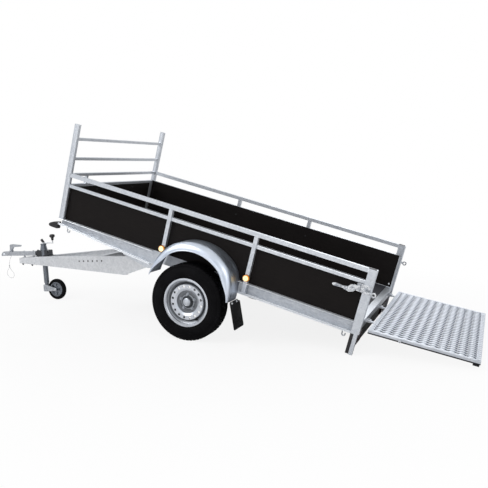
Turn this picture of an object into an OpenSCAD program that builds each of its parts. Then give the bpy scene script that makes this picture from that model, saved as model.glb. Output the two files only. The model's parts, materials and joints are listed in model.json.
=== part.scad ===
// Single-axle tipping trailer with a hinged drawbar, a railed load bed and a rear loading ramp.
// Millimetres. X points to the trailer's rear, Y to its right side, Z up.
// It is shown tipped: wheels, jockey wheel and the lower edge of the light board stand on the ground.

/* [Load bed] */
// Distance from the axle to the front end of the bed
bed_front = 1321; // [1200:1:1450]
// Distance from the axle to the rear end of the bed
bed_rear = 1245; // [1150:1:1350]
// Width of the bed over its side boards
bed_width = 1306; // [1250:2:1340]
// Thickness of the floor and of the boards
board_t = 15; // [9:1:21]
// Height of the side boards above the floor
board_h = 293; // [220:1:320]
// Height of the top rail's centre above the floor
rail_h = 371; // [350:1:450]
// Height of the front rack above the floor
rack_h = 777; // [720:1:900]
// Heights of the three rack bars above the floor
bar_heights = [371, 502, 662];
// Height of the floor's upper face above the axle
axle_drop = 252; // [245:1:270]
// Distance of the inner floor bearers from the axle
bearer_near = 640; // [560:1:720]
// Distance of the outer floor bearers from the axle
bearer_far = 1000; // [900:1:1080]
// Distance of the front lashing hooks behind the bed's front end
front_hook_inset = 91; // [60:1:140]
// Distance of the rear lashing hooks ahead of the bed's rear end
rear_hook_inset = 107; // [90:1:160]

/* [Frame sections] */
// Side of the square tube of rails and posts
tube = 30; // [25:1:35]
// Height and depth of the tubes along the board tops and of the rack bars
slim_tube = 22; // [18:1:25]
// Width of the two rear posts along the bed
rear_post_w = 50; // [40:1:60]
// Sheet thickness of the side sills
sill_t = 3; // [2:0.5:4]
// Width of the sill's outward flanges
flange_w = 50; // [40:1:55]
// Depth of the sill at the front end
sill_front_depth = 47; // [40:1:60]
// Depth of the sill ahead of the wheel
sill_mid_depth = 109; // [100:1:115]
// Depth of the sill behind the wheel
sill_rear_depth = 84; // [70:1:90]
// Place of the front post on each side, ahead of the axle
front_post_x = 339; // [320:1:350]
// Place of the rear mid post on each side, behind the axle
mid_post_x = 371; // [371:1:420]
// Length of the light board's drop below the floor
light_drop = 234; // [200:1:245]
// Depth of the rear cross beam
rear_beam_depth = 60; // [50:1:80]
// Width of the tail lamps
tail_lamp_w = 220; // [180:1:240]
// Height of the tail lamps
tail_lamp_h = 90; // [70:1:100]
// Depth of the tail lamps' upper edge below the floor
tail_lamp_drop = 110; // [90:1:120]
// Radius of the side lamps
side_lamp_r = 24.5; // [20:0.5:30]
// Length of the marker lamps ahead of the bed
marker_l = 100; // [80:1:120]

/* [Wheels] */
// Outer radius of the tyres
wheel_r = 289; // [280:1:295]
// Distance between the tyre centres
track = 1486; // [1480:2:1500]
// Section width of the tyres
tyre_w = 155; // [145:1:160]
// Radius of the rim at the tyre bead
rim_r = 165; // [160:1:170]
// Radius of the rim flange
rim_flange_r = 182; // [178:1:186]
// Number of round vent holes in each rim
vent_count = 16; // [12:1:18]
// Radius of the vent holes
vent_r = 9; // [6:0.5:11]
// Radius of the circle on which the vent holes lie
vent_circle = 118; // [116:0.5:119]
// Radius of the hub cap
hub_cap_r = 32; // [28:1:36]

/* [Mudguards] */
// Outer radius of the mudguard's crown
guard_r = 387; // [370:1:395]
// Height of the mudguard's centre above the axle
guard_lift = 66; // [50:1:80]
// Angle of the mudguard's ends above the horizontal
guard_end = 8.4; // [4:0.1:14]
// Width of the mudguard
guard_w = 194; // [185:1:200]
// Radius of the mudguard's rounded shoulder
guard_shoulder = 55; // [30:1:60]
// Sheet thickness of the mudguard
guard_t = 2.5; // [1.5:0.5:4]

/* [Drawbar] */
// Place of the tilt pivot ahead of the axle, along the bed
pivot_x = 410; // [405:1:415]
// Depth of the tilt pivot below the floor's upper face
pivot_drop = 109; // [106:1:115]
// Angle through which the bed tips from level to the ground
closing_angle = 17.8; // [16:0.1:20]
// Length from the pivot to the nose of the drawbar
nose_x = 1882; // [1860:1:1920]
// Length from the pivot to the bend where the arms spread
bend_x = 1627; // [1600:1:1660]
// Half width of the drawbar's nose
nose_half = 45; // [42:1:50]
// Gap between each arm and the sill beside it
arm_gap = 13; // [11:1:22]
// Sheet thickness of the arms
arm_t = 4; // [3:0.5:6]
// Width of the arms' inward flanges
arm_flange = 34; // [25:1:36]
// Radius of the pivot pins
pin_r = 8; // [7:0.5:10]
// Thickness of the pivot bracket plates
bracket_t = 6; // [4:1:8]
// Number of holes in each arm
hole_count = 6; // [4:1:8]
// Pitch of the holes in each arm
hole_pitch = 65; // [55:1:70]
// Radius of the holes in each arm
hole_r = 6; // [4:0.5:8]

/* [Coupling and jockey wheel] */
// Place of the tow ball's centre ahead of the pivot
ball_x = 2088; // [2070:1:2100]
// Radius of the tow ball socket
socket_r = 25.4; // [25.4:0.1:25.4]
// Place of the jockey wheel's tube ahead of the pivot
jockey_x = 1590; // [1580:1:1600]
// Sideways place of the jockey wheel's tube
jockey_y = -22; // [-24:1:-16]
// Radius of the jockey wheel's outer tube
jockey_tube_r = 24; // [22:0.5:24.5]
// Radius of the jockey wheel
jockey_r = 100; // [90:1:105]
// Distance of the jockey wheel's axle behind its tube
jockey_trail = 120; // [116:1:125]
// Length of the jockey wheel's crank arm
crank_r = 113; // [100:1:120]

/* [Ramp] */
// Distance from the hinge line to the ramp's far end
ramp_l = 760; // [680:1:830]
// Width of the ramp
ramp_w = 1376; // [1320:2:1390]
// Angle of the lowered ramp above the bed's plane
ramp_rise = 3.9; // [2:0.1:8]
// Distance of the hinge line behind the bed's end
hinge_gap = 30; // [25:1:32]
// Distance from the hinge line to the ramp's near edge
ramp_edge = 29; // [20:1:32]
// Depth of the hinge line below the floor's upper face
hinge_drop = 21; // [15:1:30]
// Depth of the ramp's frame
ramp_depth = 26; // [22:1:30]
// Pitch of the ramp's deck planks
plank_pitch = 61; // [50:1:75]

/* [Hidden] */

smooth = 64;
steel = "silver";
ply = "#1c1a19";
black = "#17171a";
amber = "orange";

// Clearances
seat_gap = 0.3;
run_gap = 0.05;
move_gap = 6;

// Outer faces of the boards and of the posts
side = bed_width / 2;
post_outer = side + tube;
sill_outer = side - 13 + flange_w;
web_outer = side - 13;
web_inner = web_outer - sill_t;
arm_half = web_inner - arm_gap;

// The light board's lower rear corner touches the ground, and that sets the tilt
corner_h = axle_drop - light_drop;
tilt = atan2(corner_h, bed_rear) + asin(wheel_r / norm([bed_rear, corner_h]));

guard_rear_x = 300;

// Tilt pivot above the ground, and the drawbar's slope
pivot_h = axle_drop - pivot_drop;
pivot_gx = -pivot_x * cos(tilt) + pivot_h * sin(tilt);
pivot_gz = wheel_r + pivot_x * sin(tilt) + pivot_h * cos(tilt);
nose_pitch = closing_angle - tilt;

// Heights of the arms in the drawbar's frame
arm_top_nose = -31;
arm_bottom_nose = -82;
arm_bottom_bend = -104;
arm_top_rear = 45;
arm_top_rear_x = 311;
arm_deep_x = 373;
arm_deep = -114;
arm_heel_x = 90;
arm_heel = -31;
lug_r = 31;

// Coupling
coupling_base = -11;
head_r = 43;
head_top = 28;
coupling_tail_x = 1690;
coupling_half = 36;
socket_depth = 30;

// The whole trailer is centred over the ground's origin
coupling_front_gx = pivot_gx - (ball_x + head_r) * cos(nose_pitch) - head_top * sin(nose_pitch);
ramp_hinge_h = axle_drop - hinge_drop;
ramp_slope = tilt - ramp_rise;
hinge_gx = (bed_rear + hinge_gap) * cos(tilt) + ramp_hinge_h * sin(tilt);
ramp_end_gx = hinge_gx + ramp_l * cos(ramp_slope);
origin_x = -(coupling_front_gx + ramp_end_gx) / 2;

// Ramp hinges and the lugs that the latches hold
hinge_places = [-470, 0, 470];
hinge_half = 16;
hinge_r = 7.5;
hinge_pin_r = 4;
ear_t = 6;
ramp_rim = 30;
lug_x = 248;
ramp_lug_r = 7;
lug_end = post_outer + 30;

// Jockey wheel heights in the drawbar's frame
jockey_axle_x = jockey_x - jockey_trail;
jockey_axle_z = (jockey_r - pivot_gz + jockey_axle_x * sin(nose_pitch)) / cos(nose_pitch);
tube_bottom = jockey_axle_z + 62;
tube_top = 44;
housing_top = 92;
leg_r = 19;

module on_ground() translate([origin_x, 0, 0]) children();

module on_bed()
    on_ground() translate([0, 0, wheel_r]) rotate([0, tilt, 0]) translate([0, 0, axle_drop]) children();

module on_drawbar()
    on_ground() translate([pivot_gx, 0, pivot_gz]) rotate([0, -nose_pitch, 0]) children();

module on_ramp()
    on_bed() translate([bed_rear + hinge_gap, 0, -hinge_drop]) rotate([0, -ramp_rise, 0]) children();

// hand is 1 on the right side and -1 on the left side
module on_side(hand) mirror([0, hand > 0 ? 0 : 1, 0]) children();

module both_sides() {
    children();
    mirror([0, 1, 0]) children();
}

// Box between two corners
module block(a, b) translate(a) cube(b - a);

// Outline in X and Z, extruded along Y from y0 to y1
module slab_y(points, y0, y1)
    translate([0, y1, 0]) rotate([90, 0, 0]) linear_extrude(height = y1 - y0) polygon(points);

module rod_y(r, y0, y1) translate([0, y0, 0]) rotate([-90, 0, 0]) cylinder(r = r, h = y1 - y0, $fn = smooth);

// Boards

module floor_board() color(ply) on_bed()
    block([-bed_front + tube, -web_inner + seat_gap, -board_t],
        [bed_rear - rear_post_w, web_inner - seat_gap, 0]);

front_board_x = -bed_front + tube / 2 + 5;

module front_board() color(ply) on_bed()
    block([front_board_x - board_t / 2, -side + board_t, sill_t],
        [front_board_x + board_t / 2, side - board_t,
        board_h - slim_tube]);

module side_board(hand) color(ply) on_bed() on_side(hand)
    block([-bed_front + 5, side - board_t, sill_t], [bed_rear, side, board_h]);

// Chassis

module sill(hand) color(steel) on_bed() on_side(hand) difference() {
    union() {
        slab_y([[-bed_front, 0], [bed_rear - rear_post_w, 0], [bed_rear - rear_post_w, -sill_rear_depth],
            [-pivot_x - 13, -sill_rear_depth], [-pivot_x - 13, -sill_mid_depth],
                [-bed_front, -sill_front_depth]],
            web_inner, web_outer);
        block([-bed_front, web_inner, 0], [bed_rear, side, sill_t]);
        sill_flanges(-bed_front, -pivot_x - 13, sill_front_depth, sill_mid_depth);
        sill_flanges(guard_rear_x, bed_rear - rear_post_w, sill_rear_depth, sill_rear_depth);
        for (share = [0.32, 0.66]) {
            sill_rib(-bed_front, -pivot_x - 60, sill_front_depth * share, sill_mid_depth * share);
            sill_rib(guard_rear_x + 10, bed_rear - rear_post_w, sill_rear_depth * share,
                sill_rear_depth * share);
        }
    }
    post_box(mid_post_x, -sill_rear_depth);
}

// Pressed rib along the web between two stations, d0 and d1 below the floor
module sill_rib(x0, x1, d0, d1) {
    rib_w = 9;
    rib_out = 2.5;
    slab_y([[x0, -d0], [x1, -d1], [x1, -d1 + rib_w], [x0, -d0 + rib_w]], web_outer - 1, web_outer + rib_out);
}

// Top flange, lower flange and its return lip between two stations
module sill_flanges(x0, x1, d0, d1) {
    lip = 14;
    block([x0, web_inner, 0], [x1, sill_outer, sill_t]);
    slab_y([[x0, -d0], [x1, -d1], [x1, -d1 + sill_t], [x0, -d0 + sill_t]], web_inner, sill_outer);
    slab_y([[x0, -d0], [x1, -d1], [x1, -d1 + lip], [x0, -d0 + lip]], sill_outer - sill_t, sill_outer);
}

module post_box(x, bottom)
    block([x - tube / 2, side, bottom + sill_t], [x + tube / 2, post_outer, rail_h - tube / 2]);

module front_beam() color(steel) on_bed()
    block([-bed_front, -web_inner, -sill_front_depth], [-bed_front + tube, web_inner, 0]);

// The rear beam carries the ears of three ramp hinges
module rear_beam() color(steel) on_bed() difference() {
    union() {
        block([bed_rear - rear_post_w, -web_inner, -rear_beam_depth], [bed_rear, web_inner, 0]);
        for (y = hinge_places, e = [-1, 1])
            translate([0, y + e * (hinge_half + seat_gap + ear_t / 2), 0]) {
                block([bed_rear - 5, -ear_t / 2, -hinge_drop - hinge_r],
                    [bed_rear + hinge_gap, ear_t / 2, -hinge_drop + hinge_r]);
                translate([bed_rear + hinge_gap, 0, -hinge_drop]) rod_y(hinge_r, -ear_t / 2, ear_t / 2);
            }
    }
    for (y = hinge_places)
        translate([bed_rear + hinge_gap, y, -hinge_drop])
            rod_y(hinge_pin_r, -hinge_half - 20, hinge_half + 20);
}

module hinge_pins() color(steel) on_bed()
    for (y = hinge_places)
        translate([bed_rear + hinge_gap, y, -hinge_drop])
            rod_y(hinge_pin_r, -hinge_half - ear_t - 3, hinge_half + ear_t + 3);

module floor_bearers() color(steel) on_bed()
    for (x = [-bearer_far, -bearer_near, bearer_near, bearer_far])
        block([x - 20, -web_inner, -board_t - 35], [x + 20, web_inner, -board_t]);

// Each bracket is a long plate under the sill that deepens towards the pivot
bracket_front_x = pivot_x + 280;
bracket_front_depth = 24;
bracket_deep = 154;

module pivot_brackets() color(steel) on_bed() both_sides() difference() {
    slab_y([[-bracket_front_x, -sill_depth(-bracket_front_x)], [-pivot_x - 13, -sill_mid_depth],
        [-pivot_x - 12, -rear_beam_depth], [-pivot_x + 60, -rear_beam_depth], [-pivot_x + 60, -90],
        [-pivot_x + lug_r, -pivot_drop - 20], [-pivot_x - 40, -bracket_deep],
        [-pivot_x - 60, -bracket_deep], [-bracket_front_x,
            -sill_depth(-bracket_front_x) - bracket_front_depth]],
        web_outer, web_outer + bracket_t);
    translate([-pivot_x, 0, -pivot_drop]) rod_y(pin_r + run_gap, web_inner - 1, web_outer + bracket_t + 2);
}

// Rails, posts and rack

module rails(hand) color(steel) on_bed() on_side(hand) {
    top_z = rail_h - tube / 2;
    block([-bed_front + tube, side, top_z], [bed_rear - rear_post_w, post_outer, top_z + tube]);
    difference() {
        block([-bed_front + tube, side, board_h - slim_tube], [bed_rear - rear_post_w, side + slim_tube,
            board_h]);
        post_box(-front_post_x, 0);
        post_box(mid_post_x, 0);
    }
}

// The front post stops just above the mudguard's crown
front_post_bottom = guard_lift - axle_drop + sqrt(guard_r ^ 2 - (front_post_x - tube / 2) ^ 2) + seat_gap;

module mid_posts() color(steel) on_bed() both_sides() {
    post_box(-front_post_x, front_post_bottom - sill_t);
    post_box(mid_post_x, -sill_rear_depth);
}

// Below the sill the rear post's front part gives way to the end of the light board
light_t = 24;

module rear_posts() color(steel) on_bed() both_sides() {
    block([bed_rear - rear_post_w, side, -sill_rear_depth], [bed_rear, post_outer, rail_h + tube / 2]);
    block([bed_rear - rear_post_w + light_t, side, -light_drop], [bed_rear, post_outer, -sill_rear_depth]);
}

module rack_posts() color(steel) on_bed() both_sides()
    block([-bed_front, side, sill_t], [-bed_front + tube, post_outer, rack_h]);

rack_stub_y = -437;

module rack_bars() color(steel) on_bed() {
    x0 = -bed_front + (tube - slim_tube) / 2;
    for (h = bar_heights)
        block([x0, -side, h - slim_tube / 2], [x0 + slim_tube, side, h + slim_tube / 2]);
    block([x0, -side + board_t, board_h - slim_tube], [x0 + slim_tube, side - board_t, board_h]);
    block([x0, rack_stub_y - 10, board_h], [x0 + slim_tube, rack_stub_y + 10,
        bar_heights[0] - slim_tube / 2]);
}

// Axle and wheels

hub_inner = track / 2 - tyre_w / 2 - 12;

module axle_beam() color(steel) on_bed() translate([0, 0, -axle_drop]) {
    block([-30, -web_outer + 20, -30], [30, web_outer - 20, 30]);
    both_sides() {
        rod_y(17.5, web_outer - 20, track / 2 + 10);
        block([-60, web_inner - 70, 30], [60, web_inner - 64, axle_drop - board_t]);
    }
}

module on_wheel(hand)
    on_ground() translate([0, hand * track / 2, wheel_r]) rotate([-90 * hand, 0, 0]) children();

// Tyre outline from the bead over the sidewall to the middle of the tread
module tyre(hand) color(black) on_wheel(hand) {
    half = tyre_w / 2;
    tread = 57;
    wall = [for (a = [-35:14:63]) [rim_r + 50 + 50 * sin(a), half - 22 + 22 * cos(a)]];
    shoulder = [for (a = [70:-14:0]) [wheel_r - 16 + 12 * sin(90 - a), tread + 8 * cos(90 - a) - 2]];
    half_profile = concat([[rim_r + seat_gap, 47], [rim_r + seat_gap, 56.6], [rim_flange_r + 2, 60.6],
        [rim_flange_r + 2, half - 6]], wall, shoulder, [[wheel_r, tread - 8]]);
    mirrored = [for (i = [len(half_profile) - 1:-1:0]) [half_profile[i][0], -half_profile[i][1]]];
    difference() {
        rotate_extrude($fn = 96) polygon(concat(half_profile, mirrored));
        for (z = [-34, -11, 11, 34])
            difference() {
                translate([0, 0, z - 2.5]) cylinder(r = wheel_r + 1, h = 5, $fn = 96);
                translate([0, 0, z - 3]) cylinder(r = wheel_r - 7, h = 6, $fn = 96);
            }
    }
}

// Wheel: a barrel with rolled lips, and a dish with a raised band of vents, a valley and a domed hub cap
module rim(hand) color("gainsboro") on_wheel(hand) {
    sheet = 4;
    lip = 65;
    well_r = rim_r - 18;
    band = 14;
    dish_r = vent_circle - 34;
    boss_r = 45;
    difference() {
        union() {
            rotate_extrude($fn = 96) polygon([
                [rim_flange_r, lip], [rim_flange_r, lip - 4], [rim_r, lip - 8], [rim_r, 46], [well_r, 34],
                [well_r, -34], [rim_r, -46], [rim_r, -lip + 8], [rim_flange_r, -lip + 4],
                    [rim_flange_r, -lip],
                [rim_r + 3, -lip - 1], [rim_r - sheet, -lip + 8], [rim_r - sheet, -44], [well_r - sheet, -33],
                [well_r - sheet, 33], [rim_r - sheet, 44], [rim_r - sheet, lip - 8], [rim_r + 3, lip + 1]]);
            rotate_extrude($fn = 96) polygon([
                [0, 32], [boss_r - 3, 32], [boss_r + 4, 26], [dish_r - 3, 26], [dish_r + 2, 36],
                [vent_circle - band - 2, 45], [vent_circle + band, 45], [well_r - 6, 34], [well_r - 2, 18],
                [well_r - 2, 8], [well_r - 7, 14], [well_r - 11, 32], [vent_circle + band - 3, 40],
                [vent_circle - band + 1, 40], [dish_r + 6, 32], [dish_r + 1, 21], [boss_r + 2, 21],
                    [boss_r - 4, 15],
                [0, 15]]);
            rotate_extrude($fn = smooth) polygon([
                [0, 31], [hub_cap_r, 31], [hub_cap_r, 44], [hub_cap_r - 3, 49], [hub_cap_r - 9, 53],
                [hub_cap_r - 18, 56], [0, 57]]);
            translate([0, 0, -80]) cylinder(r = boss_r, h = 98, $fn = smooth);
        }
        for (i = [0:vent_count - 1])
            rotate([0, 0, (i + 0.5) * 360 / vent_count]) translate([vent_circle, 0, 30])
                cylinder(r = vent_r, h = 24, $fn = 24);
        translate([0, 0, -90]) cylinder(r = 17.5 + run_gap, h = 102, $fn = smooth);
    }
}

// Mudguards: a crown with a rounded shoulder and a turned-down skirt, revolved about the axle line
module mudguard(hand) color("lightsteelblue") on_bed() on_side(hand) {
    y0 = side + seat_gap;
    y1 = y0 + guard_w;
    s = guard_shoulder;
    outer = [for (a = [90:-15:0]) [guard_r - s + s * sin(a), y1 - s + s * cos(a)]];
    inner = [for (a = [0:15:90]) [guard_r - s + (s - guard_t) * sin(a), y1 - s + (s - guard_t) * cos(a)]];
    profile = concat([[guard_r - guard_t, y0], [guard_r, y0]], outer, [[guard_r - s - 4, y1],
        [guard_r - s - 4, y1 - guard_t]], inner);
    difference() {
        translate([0, 0, guard_lift - axle_drop]) rotate([-90, 0, 0]) rotate([0, 0, 180 + guard_end])
            rotate_extrude(angle = 180 - 2 * guard_end, $fn = 96) polygon(profile);
        // The skirt runs out towards both ends, along a wider arc about a lower centre
        translate([0, 0, guard_lift - axle_drop - skirt_drop])
            rod_y(guard_r - s - 4 + skirt_drop, y1 - s + 2, y1 + 1);
        block([guard_rear_x - 2, web_inner, -sill_rear_depth - 2], [guard_r + 5, sill_outer + 2, sill_t + 2]);
    }
}

// Depth of the skirt edge's centre below the mudguard's centre
skirt_drop = 64;

// Each flap hangs from a narrower tab inside the mudguard's rear end
flap_l = 198;
flap_t = 5;
flap_tab = 24;
flap_lean = 20.9;

module mud_flaps() color(black) on_bed() both_sides()
    translate([guard_r * cos(guard_end) - 7.5, 0, guard_lift - axle_drop + guard_r * sin(guard_end) + 11.5])
        rotate([0, -flap_lean, 0]) translate([-flap_t, 0, 0]) rotate([90, 0, 90])
            linear_extrude(height = flap_t)
            polygon([[side + 37, 0], [side + guard_w - guard_shoulder - 7, 0],
                [side + guard_w - guard_shoulder - 7, -flap_tab], [side + guard_w - 7, -flap_tab],
                [side + guard_w - 7, -flap_l], [side + 37, -flap_l]]);

// Lamps and fittings

module light_board() color(black) on_bed() {
    x0 = bed_rear - rear_post_w;
    block([x0, -post_outer, -light_drop + 4], [x0 + light_t, post_outer, -sill_rear_depth]);
    block([x0, -web_inner, -sill_rear_depth], [x0 + light_t, web_inner, -rear_beam_depth]);
}

module tail_lamps() color("darkred") on_bed() both_sides()
    block([bed_rear - rear_post_w + light_t, side - 20 - tail_lamp_w, -tail_lamp_drop - tail_lamp_h],
        [bed_rear - rear_post_w + light_t + 14, side - 20, -tail_lamp_drop]);

// The front lamp sits on its post just above the mudguard
front_lamp_x = -front_post_x - 6;
front_lamp_h = guard_lift - axle_drop + sqrt((guard_r + side_lamp_r + 3) ^ 2 - front_lamp_x ^ 2);
rear_lamp_h = 42;

module side_lamps() color(amber) on_bed() both_sides()
    for (place = [[front_lamp_x, front_lamp_h], [mid_post_x, rear_lamp_h]])
        translate([place[0], post_outer, place[1]]) rotate([-90, 0, 0]) {
            cylinder(r = side_lamp_r, h = 12, $fn = smooth);
            translate([0, 0, 12]) cylinder(r = side_lamp_r - 4, h = 5, $fn = smooth);
        }

module marker_lamps() color(black) on_bed() both_sides()
    block([-bed_front - marker_l, side - 5, -60], [-bed_front, side + 40, -35]);

function sill_depth(x) = x > 0 ? sill_rear_depth
    : sill_front_depth + (x + bed_front) * (sill_mid_depth - sill_front_depth) / (bed_front - pivot_x - 13);

// Each hook is a rod that drops from the sill's lower flange and curls up again
module lashing_hooks() color(steel) on_bed() both_sides() {
    hook_rod = 4.5;
    curl_r = 11;
    drop = 26;
    for (x = [-bed_front + front_hook_inset, bed_rear - rear_hook_inset])
        translate([x, sill_outer - 20, -sill_depth(x + (x < 0 ? hook_rod : 0)) - seat_gap]) {
            translate([0, 0, -drop]) cylinder(r = hook_rod, h = drop, $fn = 24);
            translate([curl_r, 0, -drop]) rotate([90, 0, 0]) rotate([0, 0, 180])
                rotate_extrude(angle = 180, $fn = smooth) translate([curl_r, 0])
                    circle(r = hook_rod, $fn = 24);
            translate([2 * curl_r, 0, -drop]) cylinder(r = hook_rod, h = 8, $fn = 24);
        }
}

// Latches: a lever and a ringed link on each side, each turning on an upright pin between two ears
latch_x = bed_rear - 75;
latch_h = 243;
lever_out = 22;
link_x = bed_rear - 35;
link_h = 228;
link_out = 40;
latch_pin_r = 4;
barrel_r = 7;
barrel_half = 11;
latch_ear_t = 4;

// Children stand on the upright pin at a place along the bed, a distance out from the post and a height
module at_pin(x, out, h) translate([x, post_outer + out, h]) children();

module ears(x, out, h) {
    for (e = [-1, 1])
        translate([0, 0, h + e * (barrel_half + seat_gap + latch_ear_t / 2)])
            block([x - barrel_r, post_outer, -latch_ear_t / 2], [x + barrel_r, post_outer + out + barrel_r,
                latch_ear_t / 2]);
    at_pin(x, out, h - barrel_half - latch_ear_t - 2)
        cylinder(r = latch_pin_r, h = 2 * (barrel_half + latch_ear_t + 2), $fn = smooth);
}

module latch_bases() color(steel) on_bed() both_sides() {
    block([latch_x - 20, post_outer, latch_h - 30], [bed_rear - 2, post_outer + 6, latch_h + 28]);
    ears(latch_x, lever_out, latch_h);
    ears(link_x, link_out, link_h);
}

module barrel() difference() {
    translate([0, 0, -barrel_half]) cylinder(r = barrel_r, h = 2 * barrel_half, $fn = smooth);
    barrel_bore();
}

module barrel_bore()
    translate([0, 0, -barrel_half - 1])
        cylinder(r = latch_pin_r + run_gap, h = 2 * barrel_half + 2, $fn = smooth);

module latch(hand) color(steel) on_bed() on_side(hand) at_pin(latch_x, lever_out, latch_h) difference() {
    union() {
        barrel();
        slab_y([[0, -barrel_half], [0, barrel_half], [-12, barrel_half], [-36, 14], [-57, 6],
            [-75, -14], [-105, -18],
            [-100, -38], [-59, -46], [-30, -36], [-12, -barrel_half]], -7, 7);
        slab_y([[-98, -20], [-98, -34], [-172, -38], [-182, -32], [-184, -26], [-176, -19],
            [-160, -15]], -5, 5);
    }
    barrel_bore();
}

module latch_link(hand) color(steel) on_bed() on_side(hand) at_pin(link_x, link_out, link_h) difference() {
    union() {
        barrel();
        slab_y([[0, -8], [0, 9], [ring_x, 6], [ring_x, -10]], -4, 4);
        translate([ring_x, 0, -1]) rod_y(18, -4, 4);
    }
    translate([ring_x, 0, -1]) rod_y(9, -5, 5);
    barrel_bore();
}

ring_x = 68;

// Ramp

module ramp_frame() color(steel) on_ramp() difference() {
    union() {
        difference() {
            block([ramp_edge, -ramp_w / 2, -ramp_depth], [ramp_l, ramp_w / 2, 0]);
            block([ramp_edge + ramp_rim, -ramp_w / 2 + ramp_rim, -ramp_depth - 1],
                [ramp_l - ramp_rim, ramp_w / 2 - ramp_rim, 1]);
        }
        for (y = hinge_places)
            translate([0, y, 0]) {
                rod_y(hinge_r, -hinge_half, hinge_half);
                block([0, -hinge_half, -hinge_r], [ramp_edge + 1, hinge_half, 0]);
            }
        for (e = [-1, 1])
            translate([lug_x, 0, -ramp_depth / 2])
                rod_y(ramp_lug_r, min(e * (ramp_w / 2 - 5), e * lug_end), max(e * (ramp_w / 2 - 5),
                    e * lug_end));
    }
    for (y = hinge_places)
        translate([0, y, 0]) rod_y(hinge_pin_r + run_gap, -hinge_half - 1, hinge_half + 1);
}

// Deck planks: pressed channels with a raised crown, one behind the other between the frame's rails
module ramp_deck() color("lightgray") on_ramp() {
    sheet = 3;
    deep = 16;
    first = ramp_edge + ramp_rim;
    last = ramp_l - ramp_rim;
    for (x = [first:plank_pitch:last - 20])
        translate([x, 0, 0]) {
            w = min(plank_pitch, last - x);
            slab_y([[1, -deep], [1, -7], [w * 0.3, -1], [w * 0.7, -1], [w - 1, -7], [w - 1, -deep],
                [w - 1 - sheet, -deep], [w - 1 - sheet, -9], [w * 0.68, -1 - sheet], [w * 0.32, -1 - sheet],
                [1 + sheet, -9], [1 + sheet, -deep]], -ramp_w / 2 + ramp_rim, ramp_w / 2 - ramp_rim);
        }
}

module ramp_feet() color(black) on_ramp() both_sides()
    block([ramp_l - 45, ramp_w / 2 - 40, -ramp_depth - 14], [ramp_l - 5, ramp_w / 2 - 5, -ramp_depth]);

// Drawbar

arm_angle = atan2(arm_half - nose_half, bend_x);
function arm_top(x) = arm_top_nose + (nose_x - x) * (arm_top_rear - arm_top_nose) / (nose_x - arm_top_rear_x);
function arm_bottom(x) = arm_bottom_bend + (bend_x - x)
    * (arm_deep - arm_bottom_bend) / (bend_x - arm_deep_x);

// Stretch behind the bend where the arms have no flanges, to clear the jockey wheel's tube
arm_plain = 100;

// Length of the bosses that hold the pivot pins, and the foremost hole with the slope of the row of holes
pin_boss_l = 44;
arm_hole_x = 991;
arm_hole_z = -31;
hole_slope = 0.06;

module arm(hand) color(steel) on_drawbar() on_side(hand) {
    spread = cos(arm_angle);
    flange_x = bend_x - arm_plain;
    outline = [[-bend_x, arm_top(bend_x)], [-arm_top_rear_x, arm_top_rear], [-20, arm_top_rear - 5],
        [20, 10], [20, -lug_r + 8], [-arm_heel_x, arm_heel], [-arm_deep_x, arm_deep],
        [-bend_x, arm_bottom_bend]];
    // What is cut from the solid arm to leave its web and flanges
    pocket = [[-bend_x - 5, 100], [-flange_x, 100], [-flange_x, arm_top(flange_x) - arm_t],
        [-arm_top_rear_x, arm_top_rear - arm_t], [-60, arm_top_rear - 4 - arm_t], [-60, 100], [60, 100],
            [60, -200],
        [-arm_deep_x, -200], [-arm_deep_x, arm_deep + arm_t], [-flange_x, arm_bottom(flange_x) + arm_t],
        [-flange_x, -200], [-bend_x - 5, -200]];
    difference() {
        union() {
            slab_y([[-nose_x, arm_top_nose], [-bend_x + 2, arm_top(bend_x)], [-bend_x + 2, arm_bottom_bend],
                [-nose_x, arm_bottom_nose]], nose_half - arm_t, nose_half);
            translate([-bend_x, nose_half, 0]) rotate([0, 0, arm_angle]) difference() {
                slab_y([for (p = outline) [(p[0] + bend_x) / spread, p[1]]], -arm_flange, 0);
                slab_y([for (p = pocket) [(p[0] + bend_x) / spread, p[1]]], -arm_flange - 1, -arm_t);
            }
            rod_y(lug_r - 9, arm_half - pin_boss_l, arm_half + 4);
        }
        rod_y(pin_r, arm_half - pin_boss_l - 20, arm_half + 10);
        for (i = [0:hole_count - 1])
            translate([-arm_hole_x + i * hole_pitch, 0, arm_hole_z + i * hole_pitch * hole_slope])
                rod_y(hole_r, 0, arm_half);
    }
}

module nose_box() color(steel) on_drawbar() {
    plate = 6;
    inner = nose_half - arm_t;
    x1 = jockey_x + jockey_tube_r + move_gap;
    block([-nose_x, -inner, arm_top_nose - plate], [-x1, inner, arm_top_nose]);
    slab_y([[-nose_x, arm_bottom_nose], [-x1, nose_bottom(x1)], [-x1, nose_bottom(x1) + plate],
        [-nose_x, arm_bottom_nose + plate]], -inner, inner);
}

function nose_bottom(x) = arm_bottom_nose + (nose_x - x)
    * (arm_bottom_bend - arm_bottom_nose) / (nose_x - bend_x);

// The cross tube sits between the webs, under their top flanges
cross_x = 760;
cross_w = 60;
cross_top = arm_top(cross_x + cross_w) - arm_t - seat_gap;
cross_depth = 45;
function web_inside(x) = nose_half + (bend_x - x) * tan(arm_angle) - arm_t / cos(arm_angle) - seat_gap;

module cross_tube() color(steel) on_drawbar() {
    x0 = cross_x + cross_w / 2;
    x1 = cross_x - cross_w / 2;
    translate([0, 0, cross_top - cross_depth]) linear_extrude(height = cross_depth)
        polygon([[-x0, -web_inside(x0)], [-x1, -web_inside(x1)], [-x1, web_inside(x1)],
            [-x0, web_inside(x0)]]);
}

module pivot_pins() color(steel) on_drawbar() both_sides() {
    head = web_outer + bracket_t + seat_gap;
    rod_y(pin_r, arm_half - pin_boss_l - 8, head + 2);
    rod_y(pin_r + 4, head, head + 9);
}

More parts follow.
